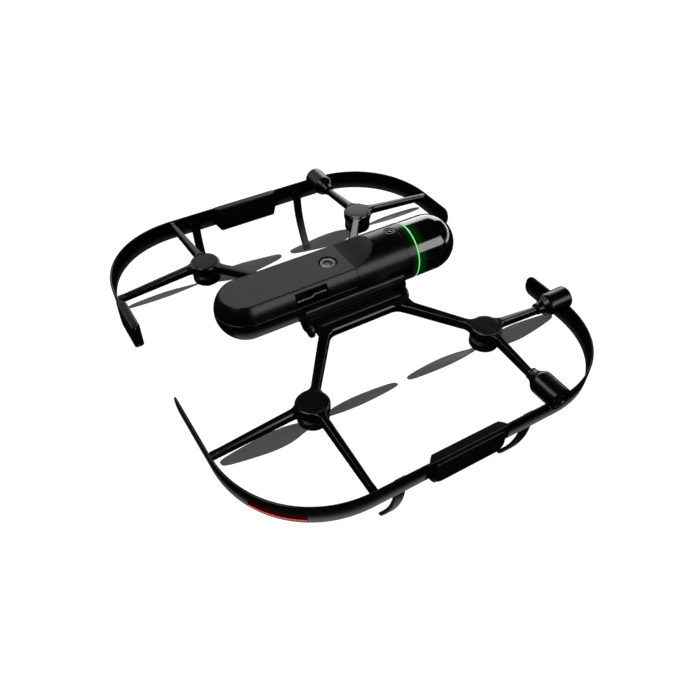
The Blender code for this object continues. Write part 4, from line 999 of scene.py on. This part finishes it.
def shell_profile(y):
    zt = split_z(y) - 0.0002
    ri = BODY_R - 0.0024
    out = []
    a_top = math.asin((zt - BODY_Z) / ri)
    n = 10
    for i in range(n + 1):
        a = -math.pi / 2 + (a_top + math.pi / 2) * i / n
        out.append((max(0.0, ri * math.cos(a)), y, BODY_Z + ri * math.sin(a)))
    rx = math.sqrt(BODY_R ** 2 - (zt - BODY_Z) ** 2)
    out.append((rx - 0.0011, y, zt))
    out.append((rx - 0.0005, y, zt - 0.00012))
    out.append((rx - 0.00015, y, zt - 0.0004))
    a_top = math.asin((zt - 0.0008 - BODY_Z) / BODY_R)
    n = 34
    for i in range(n + 1):
        a = a_top + (-math.pi / 2 - a_top) * i / n
        out.append((max(0.0, BODY_R * math.cos(a)), y, BODY_Z + BODY_R * math.sin(a)))
    return out


ys = [SPLIT_Y]
ys += [SPLIT_Y - 0.0060 * (1 - math.cos(math.radians(a))) for a in (10, 20, 30, 40, 50, 60, 70, 80, 90)]
ys += [0.0, -0.02, -0.04, -0.06, -0.08, -0.10, -0.12, REAR_C]
bm = bmesh.new()
add_grid(bm, stadium(shell_profile, ys))

# upper front of the shell with the scoop
SC_END = 0.0480
rise = BODY_Z + BODY_R - FLAT_Z


def scoop_z(y):
    t = (y - SPLIT_Y) / (SC_END - SPLIT_Y)
    return FLAT_Z + rise * (0.42 * t + 0.58 * t ** 2.2) if t >= 0 else FLAT_Z


def crown(y, inset=0.0):
    """Points round the front of the shell from below, up the right side to the top."""
    z_low = SPLIT + 0.0060 - 0.0002
    a0 = math.asin((z_low - BODY_Z) / BODY_R)
    pts = []
    for i in range(37):
        a = -math.pi / 2 + (a0 - 0.006 + math.pi / 2) * i / 36
        pts.append((max(0.0, BODY_R * math.cos(a)), y, BODY_Z + BODY_R * math.sin(a)))
    R2 = BODY_R - inset
    zc = scoop_z(y)
    if zc < BODY_Z + R2 - 0.00002:
        a1 = math.asin((zc - BODY_Z) / R2)
        n = 22
        for i in range(n + 1):
            a = a0 + (a1 - a0 - 0.0005 / R2) * i / n
            pts.append((R2 * math.cos(a), y, BODY_Z + R2 * math.sin(a)))
        xc = math.sqrt(R2 ** 2 - (zc - BODY_Z) ** 2)
        pts.append((xc - 0.00010, y, zc - 0.00022))
        pts.append((xc - 0.00045, y, zc - 0.00006))
        pts.append((xc - 0.0010, y, zc))
        m = 10
        for i in range(1, m + 1):
            pts.append(((xc - 0.0010) * (1 - i / m), y, zc))
    else:
        n = 35
        for i in range(n + 1):
            a = a0 + (math.pi / 2 - a0) * i / n
            pts.append((R2 * math.cos(a), y, BODY_Z + R2 * math.sin(a)))
    return pts


rows = []
yy = [SPLIT_Y, SPLIT_Y + 0.0004] + [SPLIT_Y + 0.0385 * i / 46 for i in range(1, 47)] + [0.0500, 0.0530, 0.0570, 0.0620, 0.0680, 0.0740, 0.0760, 0.0780, 0.0800, 0.0820, 0.0840, 0.0865, 0.0880, BODY_FRONT]
for i, y in enumerate(yy):
    p = crown(y, 0.0004 if i == 0 else 0.0)
    rows.append(p + [(-x, yb, z) for x, yb, z in p[::-1][1:]])
add_grid(bm, rows)
bmesh.ops.remove_doubles(bm, verts=bm.verts, dist=0.000004)
hole = [f for f in bm.faces if f.calc_center_median().z > BODY_Z + 0.030 and (f.calc_center_median() - Vector((0, 0.0800, f.calc_center_median().z))).length < 0.0062]
bmesh.ops.delete(bm, geom=hole, context='FACES')
me = bm_mesh(bm, "shell", 22.0)
shell = show("capsule_shell", me, "body", M_BODY, ("body_shell",))

# matt facing on the scoop
me.materials.append(M_SCOOP)
for p in me.polygons:
    c = p.center - OFF
    if c.y > SPLIT_Y + 0.0003 and c.y < SC_END + 0.0005 and c.z < scoop_z(c.y) + 0.0004 and c.z > scoop_z(c.y) - 0.0004 and abs(p.normal.x) < 0.30 and c.z < BODY_Z + BODY_R - 0.0002:
        p.material_index = 1


# battery cover
REC_Y, REC_Z, REC_X = (-0.0815, -0.0355), (0.0348, 0.0510), 0.0287


def cover_front(z):
    zs = SPLIT + GAP
    r = 0.0060
    if z >= zs + r:
        return SPLIT_Y - GAP
    t = (zs + r - z) / r
    return SPLIT_Y - GAP - r + r * math.sqrt(max(0.0, 1 - t * t))


xf = math.sqrt(BODY_R ** 2 - (FLAT_Z - BODY_Z) ** 2)
a_flat = math.asin((FLAT_Z - BODY_Z) / BODY_R)
a_low = math.asin((SPLIT + GAP - BODY_Z) / BODY_R)
COVER = [(xf - 0.0018, FLAT_Z - 0.0006), (xf - 0.0008, FLAT_Z - 0.0006), (xf - 0.0008, FLAT_Z - 0.00012), (xf - 0.0007, FLAT_Z - 0.00002),
         (xf - 0.0005, FLAT_Z - 0.00002), (xf - 0.00018, FLAT_Z - 0.00022), (xf + 0.00005, FLAT_Z - 0.00052)]
for i in range(46):
    a = a_flat - 0.020 + (a_low + 0.012 - a_flat + 0.020) * i / 45
    COVER.append((BODY_R * math.cos(a), BODY_Z + BODY_R * math.sin(a)))
rl = BODY_R * math.cos(a_low)
COVER += [(rl - 0.00015, SPLIT + GAP + 0.0002), (rl - 0.0005, SPLIT + GAP + 0.00005), (rl - 0.0030, SPLIT + GAP)]


def cover_profile(y):
    out = []
    for r, z in COVER:
        x, y2 = r, min(y, cover_front(z))
        fy = smooth((y - REC_Y[0]) / 0.0014) * smooth((REC_Y[1] - y) / 0.0014)
        fz = smooth((z - REC_Z[0]) / 0.0009) * smooth((REC_Z[1] - z) / 0.0009)
        f = fy * fz
        if f > 0:
            x = x + (REC_X - x) * f
        out.append((x, y2, z))
    return out


cys = [SPLIT_Y - GAP, SPLIT_Y - 0.0008, SPLIT_Y - 0.0016, SPLIT_Y - 0.0026, SPLIT_Y - 0.0040, SPLIT_Y - 0.0055, SPLIT_Y - 0.0070, 0.0, -0.010, -0.022, -0.0335]
cys += [REC_Y[1] + d for d in (0.0002, 0.0, -0.00035, -0.0007, -0.00105, -0.0014, -0.0030)]
cys += [-0.045, -0.0585, -0.072]
cys += [REC_Y[0] + d for d in (0.0030, 0.0014, 0.00105, 0.0007, 0.00035, 0.0, -0.0002)]
cys += [-0.090, -0.105, -0.120, REAR_C]
bm = bmesh.new()
cols = stadium(cover_profile, cys, 56)
add_grid(bm, cols)
me = bm_mesh(bm, "cover_side", 24.0, 0.0000008)
cover = show("battery_shell", me, "battery", M_BODY, ("battery_cover",))
bm = bmesh.new()
top_loop = [(c[0][0], c[0][1]) for c in cols]
clean = []
for p in top_loop:
    if not clean or (Vector(p) - Vector(clean[-1])).length > 1e-6:
        clean.append(p)
# counterclockwise order
area = sum(clean[i - 1][0] * clean[i][1] - clean[i][0] * clean[i - 1][1] for i in range(len(clean)))
if area < 0:
    clean = clean[::-1]
BTN = (0.0, -0.0150)
hole_loop = arc(BTN[0], BTN[1], 0.0128, 0, 360, 72)[:-1]
add_slab(bm, clean, [(-0.0006, -0.0006), (-0.0006, -0.00008), (-0.0004, 0.0)], lambda x, y, l: Vector((x, y, FLAT_Z + l)), [hole_loop], base=False)
me = bm_mesh(bm, "top_plate", 30.0, 0.0000008)
show("battery_top_plate", me, "battery", M_TOP)
# soft dish that holds the button
dish = [(0.0128, FLAT_Z), (0.0122, FLAT_Z - 0.00012), (0.0115, FLAT_Z - 0.0006), (0.0110, FLAT_Z - 0.0014), (0.0108, FLAT_Z - 0.0030), (0.0050, FLAT_Z - 0.0062), (0.0, FLAT_Z - 0.0062)]
show("button_dish", lathe("dish", dish, (BTN[0], BTN[1], 0), "Z", 72, angle=40.0), "battery", M_DULL_BLACK_AND_SLOT_SHADE)
for i, (r0, r1, top) in enumerate(((0.0082, 0.0096, -0.0006), (0.0064, 0.0071, -0.0010))):
    z = FLAT_Z + top
    ring = [(r0, z - 0.0040), (r0, z - 0.0003), (r0 + 0.0002, z - 0.00005), ((r0 + r1) / 2, z + 0.00008), (r1 - 0.0002, z - 0.00005), (r1, z - 0.0003), (r1, z - 0.0040)]
    show("button_ring_%d" % i, lathe("button_ring", ring, (BTN[0], BTN[1], 0), "Z", 72, closed=True, angle=50.0), "battery",
         M_GREY_TRIM_AND_HIGHLIGHT, ("power_button_ring",) if i == 0 else ())
key = [(0.0, -0.0018), (0.0030, -0.0018), (0.0052, -0.0016), (0.0059, -0.0013), (0.0062, -0.0017), (0.0062, -0.0042), (0.0, -0.0042)]
show("power_key", lathe("key", [(r, FLAT_Z + z) for r, z in key], (BTN[0], BTN[1], 0), "Z", 56), "power_button", M_BODY, ("power_button",))
bm = bmesh.new()
seg = arc(0, 0, 0.0024, -55, 235, 30)
rows = []
for k, (x, y) in enumerate(seg):
    n = Vector((x, y)).normalized()
    rows.append([(BTN[0] + x - n.x * 0.0003, BTN[1] + y - n.y * 0.0003, FLAT_Z - 0.00185), (BTN[0] + x - n.x * 0.0002, BTN[1] + y - n.y * 0.0002, FLAT_Z - 0.00170),
                 (BTN[0] + x + n.x * 0.0002, BTN[1] + y + n.y * 0.0002, FLAT_Z - 0.00170), (BTN[0] + x + n.x * 0.0003, BTN[1] + y + n.y * 0.0003, FLAT_Z - 0.00185)])
add_grid(bm, rows)
add_slab(bm, [(BTN[0] + u, BTN[1] + v) for u, v in fillet([(-0.0003, 0.0002 - 0.0034), (0.0003, 0.0002 - 0.0034), (0.0003, -0.0010), (-0.0003, -0.0010)], 0.0001, 3, closed=True)],
         [(0.0, -0.00185), (0.0, -0.00172), (0.0001, -0.00168)], lambda x, y, l: Vector((x, y, FLAT_Z + l)))
show("power_mark", bm_mesh(bm, "power_mark", 30.0), "power_button", M_GREY_TRIM_AND_HIGHLIGHT)

# front wall and base of the battery
bm = bmesh.new()
front = [(-xf + 0.002, FLAT_Z - 0.0010), (xf - 0.002, FLAT_Z - 0.0010)]
sec = []
for i in range(25):
    a = a_flat + (a_low - a_flat) * i / 24
    sec.append(((BODY_R - 0.0016) * math.cos(a), BODY_Z + (BODY_R - 0.0016) * math.sin(a)))
loop = [(x, z) for x, z in sec if z < FLAT_Z - 0.0010][::-1]
loop = loop + [(-x, z) for x, z in loop[::-1]]
area = sum(loop[i - 1][0] * loop[i][1] - loop[i][0] * loop[i - 1][1] for i in range(len(loop)))
if area < 0:
    loop = loop[::-1]
add_slab(bm, loop, [(0.0, 0.0), (0.0, 0.0008), (0.0004, 0.0011)], lambda x, z, l: Vector((x, SPLIT_Y - 0.0070 + l, max(z, SPLIT + 0.0012))))
show("battery_front_wall", bm_mesh(bm, "battery_front_wall", 30.0), "battery", M_BODY)
bm = bmesh.new()
rb = 0.0368
loop = [(rb, 0.0030), (-rb, 0.0030)] + [(x, y) for x, y in arc(0, REAR_C, rb, 180, 360, 48)]
loop = densify(loop, 0.008)
hole = [(-0.0258, -0.1482), (0.0258, -0.1482), (0.0258, -0.0304), (-0.0258, -0.0304)]
add_slab(bm, loop, [(0.0, 0.0), (0.0, 0.0012), (0.0005, 0.0016)], lambda x, y, l: Vector((x, y, SPLIT + 0.0004 + l)))
show("battery_base", bm_mesh(bm, "battery_base", 30.0), "battery", M_BODY)

# latches
for s, tag in ((1, "right"), (-1, "left")):
    bm = bmesh.new()
    loop = fillet([(-0.0796, 0.0372), (-0.0374, 0.0372), (-0.0374, 0.0428), (-0.0545, 0.0428), (-0.0590, 0.0398), (-0.0796, 0.0398)], 0.0006, 4, closed=True)
    add_slab(bm, loop, [(0.0, 0.0), (0.0, 0.0052), (0.00015, 0.0056), (0.0005, 0.0058)], lambda u, v, l: Vector((s * (0.0306 + l), u, v)))
    show("latch_lever_" + tag, bm_mesh(bm, "latch_lever", 30.0), "battery_latch_" + tag, M_RADAR, ("battery_latch_" + tag,))
    # Painted highlight: a light grey bead along the lever's top edge stands in for the light that edge catches.
    bm = bmesh.new()
    highlight_line = [(-0.0790, 0.0399), (-0.0588, 0.0399), (-0.0543, 0.0429), (-0.0380, 0.0429)]
    rows = []
    for u, v in densify(highlight_line, 0.002, closed=False):
        rows.append([(s * 0.0362, u, v + 0.00000), (s * 0.0364, u, v + 0.00022), (s * 0.0360, u, v + 0.0004), (s * 0.0350, u, v + 0.0004), (s * 0.0348, u, v)])
    add_grid(bm, rows, wrap=True)
    show("latch_edge_highlight_" + tag, bm_mesh(bm, "latch_edge_highlight", 40.0), "battery_latch_" + tag, M_GREY_TRIM_AND_HIGHLIGHT)

# bay: bulkhead, connector and contacts seen when the battery is lifted
bm = bmesh.new()
ri = BODY_R - 0.0026
a0 = math.asin((0.0355 - BODY_Z) / ri)
loop = [(x, BODY_Z + z) for x, z in arc(0, 0, ri, 219, 321, 24)]
loop = arc(0, BODY_Z, ri, 180 - math.degrees(math.asin((0.0520 - BODY_Z) / ri)), 360 + math.degrees(math.asin((0.0520 - BODY_Z) / ri)), 60)
add_slab(bm, loop, [(0.0, 0.0), (0.0, 0.0012), (0.0006, 0.0016)], lambda x, z, l: Vector((x, SPLIT_Y + 0.0026 - l, z)))
show("bay_bulkhead", bm_mesh(bm, "bay_bulkhead", 30.0), "body", M_BODY)
bm = bmesh.new()
loop = fillet([(-0.0150, 0.0200), (0.0150, 0.0200), (0.0150, 0.0290), (-0.0150, 0.0290)], 0.0020, 5, closed=True)
add_slab(bm, loop, [(0.0, 0.0), (0.0, 0.0040), (0.0006, 0.0046)], lambda x, z, l: Vector((x, SPLIT_Y + 0.0010 - l, z)))
show("bay_connector", bm_mesh(bm, "bay_connector", 30.0), "body", M_DULL_BLACK_AND_SLOT_SHADE)
bm = bmesh.new()
for k in range(8):
    x = -0.0119 + 0.0034 * k
    loop = fillet([(x - 0.0007, 0.0215), (x + 0.0007, 0.0215), (x + 0.0007, 0.0275), (x - 0.0007, 0.0275)], 0.0004, 3, closed=True)
    add_slab(bm, loop, [(0.0, 0.0), (0.0, 0.0004), (0.0002, 0.0006)], lambda a, z, l: Vector((a, SPLIT_Y - 0.0036 - l, z)))
show("bay_contacts", bm_mesh(bm, "bay_contacts", 30.0), "body", M_GOLD)

# ------------------------------------------------------------------ nose
BC = (0, 0, BODY_Z)
collar = [(BODY_R - 0.0003, 0.0889), (BODY_R, 0.0892), (BODY_R, 0.1028), (BODY_R - 0.0003, 0.1031), (BODY_R - 0.0024, 0.1031), (BODY_R - 0.0024, 0.0889)]
show("nose_collar", lathe("nose_collar", collar, BC, "Y", 128, closed=True, angle=30.0), "body", M_COLLAR, ("scanner_collar",))
ring = [(BODY_R - 0.0040, 0.1033), (BODY_R - 0.00030, 0.1033), (BODY_R - 0.00005, 0.1036), (BODY_R, 0.1041), (BODY_R - 0.00005, 0.1046), (BODY_R - 0.00030, 0.1049), (BODY_R - 0.0040, 0.1049)]
show("light_ring", lathe("light_ring", ring, BC, "Y", 128, closed=True, angle=60.0), "body", M_GREEN, ("led_ring",))
DOME_R, DC = 0.0394, 0.1415
prof = []
for i in range(37):
    a = math.radians(90.0 * (1 - i / 36))
    prof.append((DOME_R * math.cos(a) if i else 0.0, DC + DOME_R * math.sin(a)))
prof += [(DOME_R, 0.1300), (DOME_R, 0.1150), (DOME_R, 0.1054), (DOME_R - 0.0003, 0.1051), (DOME_R - 0.0020, 0.1051), (DOME_R - 0.0020, 0.1150), (DOME_R - 0.0020, DC)]
for i in range(1, 19):
    a = math.radians(90.0 * i / 18)
    prof.append(((DOME_R - 0.0020) * math.cos(a) if i < 18 else 0.0, DC + (DOME_R - 0.0020) * math.sin(a)))
show("scanner_dome", lathe("scanner_dome", prof, BC, "Y", 160, angle=30.0), "body", M_DOME, ("dome",))

# top camera
ct = BODY_Z + BODY_R
brl = [(0.0050, ct - 0.0014), (0.0052, ct + 0.0003), (0.0056, ct + 0.00055), (0.0063, ct + 0.0006), (0.0066, ct + 0.0003), (0.0070, ct + 0.00025), (0.0074, ct + 0.0007), (0.0079, ct + 0.0009),
       (0.0084, ct + 0.0005), (0.0086, ct - 0.0002), (0.0086, ct - 0.0030), (0.0050, ct - 0.0030)]
show("top_camera_housing", lathe("top_camera_housing", brl, (0, 0.0800, 0), "Z", 72, closed=True, angle=35.0), "body", M_BODY, ("top_camera_barrel",))
rim = [(0.0051, ct + 0.0002), (0.0053, ct + 0.00062), (0.0058, ct + 0.0007), (0.0060, ct + 0.0005), (0.0058, ct + 0.0001)]
show("top_camera_rim", lathe("top_camera_rim", rim, (0, 0.0800, 0), "Z", 72, closed=True, angle=60.0), "body", M_GREY_TRIM_AND_HIGHLIGHT)
ln = [(0.0, ct - 0.0001), (0.0020, ct - 0.0002), (0.0036, ct - 0.0006), (0.0050, ct - 0.0013), (0.0050, ct - 0.0024), (0.0, ct - 0.0024)]
show("top_camera_glass", lathe("top_camera_glass", ln, (0, 0.0800, 0), "Z", 56), "body", M_LENS, ("top_camera_lens",))
bc = [(0.0, -0.0098), (0.0028, -0.0098), (0.0034, -0.0104), (0.0040, -0.0113), (0.0056, -0.0115), (0.0063, -0.0112), (0.0065, -0.0104), (0.0065, 0.0028), (0.0, 0.0028)]
show("belly_camera", lathe("belly_camera", bc, (0, -0.0950, 0), "Z", 56, angle=40.0), "body", M_POD, ("bottom_camera",))
bl = [(0.0, -0.0105), (0.0016, -0.0104), (0.0027, -0.0099), (0.0027, -0.0094), (0.0, -0.0094)]
show("belly_camera_glass", lathe("belly_camera_glass", bl, (0, -0.0950, 0), "Z", 40), "body", M_LENS)

# ------------------------------------------------------------------ hinge saddle
r_in, r_out = BODY_R + 0.0001, BODY_R + 0.0026
ctrl = [(0.0391, 0.0240), (0.0402, 0.0236), (0.0417, 0.0218), (0.0433, 0.0194), (0.0449, 0.0169), (0.0462, 0.0143), (0.0469, 0.0112), (0.0468, 0.0080), (0.0459, 0.0052), (0.0440, 0.0036), (0.0424, 0.0020), (0.0412, -0.0030), (0.0402, -0.0090), (0.0375, -0.0125), (0.0330, -0.0135), (0.0280, -0.0125)]
fine = []
for i in range(len(ctrl) - 1):
    p0 = Vector(ctrl[max(0, i - 1)])
    p1 = Vector(ctrl[i])
    p2 = Vector(ctrl[i + 1])
    p3 = Vector(ctrl[min(len(ctrl) - 1, i + 2)])
    for k in range(4):
        t = k / 4
        q = 0.5 * ((2 * p1) + (p2 - p0) * t + (2 * p0 - 5 * p1 + 4 * p2 - p3) * t * t + (3 * p1 - p0 - 3 * p2 + p3) * t ** 3)
        fine.append((q.x, q.y))
fine.append(ctrl[-1])
under = []
for i in range(17):
    a = math.radians(-58.0 - 64.0 * i / 16)
    under.append((r_out * math.cos(a), BODY_Z + r_out * math.sin(a)))
b0 = math.degrees(math.atan2(0.0238 - BODY_Z, 0.0391))
inside = []
for i in range(49):
    a = math.radians((180.0 - b0) + (180.0 + 2 * b0) * i / 48)
    inside.append((r_in * math.cos(a), BODY_Z + r_in * math.sin(a)))
loop = fine + under + [(-x, z) for x, z in fine][::-1] + inside[1:-1]
area = sum(loop[i - 1][0] * loop[i][1] - loop[i][0] * loop[i - 1][1] for i in range(len(loop)))
if area < 0:
    loop = loop[::-1]
y0, y1 = PLATE_REAR[0], PLATE_FRONT[1]
bm = bmesh.new()
rings = [(0.0010, y0), (0.0004, y0 + 0.0003), (0.0, y0 + 0.0011), (0.0, y1 - 0.0011), (0.0004, y1 - 0.0003), (0.0010, y1)]


def saddle_point(x, z, l):
    d = min(l - y0, y1 - l)
    g = 1.0 - math.sqrt(max(0.0, 1.0 - (1.0 - min(1.0, d / 0.0052)) ** 2))
    r = math.hypot(x, z - BODY_Z)
    if z < -0.0105 or r < r_in + 0.0030:
        return Vector((x, l, z))
    k = (r_in + 0.0004 + (r - r_in - 0.0004) * (0.45 + 0.55 * g)) / r
    return Vector((x * k, l, BODY_Z + (z - BODY_Z) * k))


rings = [(0.0003, y0), (0.0, y0 + 0.0004), (0.0, y0 + 0.0013), (0.0, y0 + 0.0025), (0.0, y0 + 0.0040), (0.0, y0 + 0.0054),
         (0.0, y1 - 0.0054), (0.0, y1 - 0.0040), (0.0, y1 - 0.0025), (0.0, y1 - 0.0013), (0.0, y1 - 0.0004), (0.0003, y1)]
add_slab(bm, loop, rings, saddle_point)
for s in (1, -1):
    at = (s * HINGE_X, 0, HINGE_Z)
    b0_, b1_ = EAR_REAR[1] + GAP, EAR_FRONT[0] - GAP
    add_lathe(bm, [(0.0, b1_), (HINGE_R - 0.0004, b1_), (HINGE_R, b1_ - 0.0004), (HINGE_R, b0_ + 0.0004), (HINGE_R - 0.0004, b0_), (0.0, b0_)], at, "Y", 48)
    for ya, yb in (PLATE_REAR, PLATE_FRONT):
        add_lathe(bm, [(0.0, yb), (0.0104, yb), (0.0111, yb - 0.0003), (0.0115, yb - 0.0010), (0.0115, ya + 0.0010), (0.0111, ya + 0.0003), (0.0104, ya), (0.0, ya)],
                  (s * 0.0445, 0, HINGE_Z), "Y", 64)
me = bm_mesh(bm, "saddle", 30.0, 0.0000008)
show("hinge_cradle", me, "body", M_SADDLE, ("hinge_saddle",))
# curved strip over each hinge barrel
for s, tag in ((1, "right"), (-1, "left")):
    bm = bmesh.new()
    ya, yb = EAR_REAR[1] + 0.0010, EAR_FRONT[0] - 0.0010
    rows = []
    for y, k in ((ya, 0.0), (ya, 0.55), (ya + 0.0003, 1.0), (yb - 0.0003, 1.0), (yb, 0.55), (yb, 0.0)):
        row = []
        for i in range(15):
            t = i / 14
            a = math.radians(12.0 + 118.0 * t)
            e = min(t, 1 - t)
            rr = HINGE_R - 0.0003 + (0.0008 if e > 0.001 else 0.0) * k
            row.append((s * (HINGE_X + rr * math.cos(a)), y, HINGE_Z + rr * math.sin(a)))
        rows.append(row)
    add_grid(bm, rows)
    show("barrel_strip_" + tag, bm_mesh(bm, "barrel_strip", 40.0), "body", M_SADDLE)

# ------------------------------------------------------------------ CAD nodes that stay
KEEP = {"chassis_tray": M_METAL, "main_board": M_BOARD, "scanner_drive_motor": M_METAL, "scanner_head": M_METAL, "scanner_mirror": M_MIRROR,
        "hinge_pin_left": M_STEEL, "hinge_pin_right": M_STEEL, "battery_cells": M_CELL}
for tag in ("right", "left"):
    for fr in ("front", "rear"):
        KEEP["motor_stator_%s_%s" % (fr, tag)] = M_COPPER
for node, mat in KEEP.items():
    me = NODES[node].data
    me.materials.clear()
    me.materials.append(mat)

# ------------------------------------------------------------------ floor, backdrop, lights
def stage_mat(name, rgb, glow):
    m = bpy.data.materials.new(name)
    m.use_nodes = True
    b = m.node_tree.nodes["Principled BSDF"]
    b.inputs["Base Color"].default_value = (*rgb, 1.0)
    b.inputs["Roughness"].default_value = 0.9
    b.inputs["Specular IOR Level"].default_value = 0.0
    b.inputs["Emission Color"].default_value = (1.0, 1.0, 1.0, 1.0)
    b.inputs["Emission Strength"].default_value = glow
    return m


bm = bmesh.new()
bmesh.ops.create_circle(bm, cap_ends=True, segments=96, radius=9.0)
me = bpy.data.meshes.new("floor")
bm.to_mesh(me)
bm.free()
me.materials.append(stage_mat("floor_white", (0.30, 0.30, 0.30), 0.93))
floor = bpy.data.objects.new("floor", me)
floor.visible_glossy = False
floor.visible_diffuse = False
SCN.collection.objects.link(floor)
bm = bmesh.new()
add_lathe(bm, [(9.0, -0.1), (9.0, 9.0), (0.0, 11.0)], (0, 0, 0), "Z", 64)
me = bm_mesh(bm, "backdrop", 80.0)
me.materials.append(stage_mat("backdrop_white", (0.0, 0.0, 0.0), 0.97))
wall = bpy.data.objects.new("backdrop", me)
wall.visible_glossy = False
wall.visible_diffuse = False
SCN.collection.objects.link(wall)
# dim underside bounce, seen only in reflections
bm = bmesh.new()
bmesh.ops.create_circle(bm, cap_ends=True, segments=64, radius=1.1)
me = bpy.data.meshes.new("bounce")
bm.to_mesh(me)
bm.free()
me.transform(Matrix.Translation((0, 0, -2.4)))
me.materials.append(stage_mat("bounce_grey", (0.0, 0.0, 0.0), 0.45))
bounce = bpy.data.objects.new("bounce", me)
bounce.visible_camera = False
bounce.visible_diffuse = False
bounce.visible_shadow = False
SCN.collection.objects.link(bounce)


def band_light(name, az0, az1, el0, el1, radiance, dist=3.0, centre=(0.0, 0.0, 0.14)):
    """Curved soft light round the set between two azimuths and elevations."""
    bm = bmesh.new()
    n = max(2, int(abs(az1 - az0) / 5))
    rows = []
    for e in (el0, (el0 + el1) / 2, el1):
        rows.append([(centre[0] + dist * math.cos(math.radians(e)) * math.cos(math.radians(az0 + (az1 - az0) * k / n)),
                      centre[1] + dist * math.cos(math.radians(e)) * math.sin(math.radians(az0 + (az1 - az0) * k / n)),
                      centre[2] + dist * math.sin(math.radians(e))) for k in range(n + 1)])
    add_grid(bm, rows)
    me = bm_mesh(bm, name, 80.0)
    me.materials.append(stage_mat(name + "_glow", (0.0, 0.0, 0.0), radiance))
    ob = bpy.data.objects.new(name, me)
    ob.visible_camera = False
    ob.visible_shadow = False
    SCN.collection.objects.link(ob)
    return ob


lights = [band_light("band_left", 118.0, 156.0, -1.0, 31.0, 3.0),
          band_light("band_back", 156.0, 224.0, 4.0, 38.0, 0.75),
          band_light("band_far", 58.0, 118.0, -1.0, 7.0, 2.7),
          band_light("box_right", 1.0, 50.0, 9.0, 35.0, 3.0),
          band_light("box_back", 214.0, 246.0, 30.0, 52.0, 3.6),
          band_light("box_rear", 262.0, 304.0, 40.0, 62.0, 5.0)]

world = bpy.data.worlds.new("studio")
world.use_nodes = True
world.node_tree.nodes["Background"].inputs["Color"].default_value = (0.006, 0.006, 0.006, 1.0)
world.node_tree.nodes["Background"].inputs["Strength"].default_value = 1.0
SCN.world = world
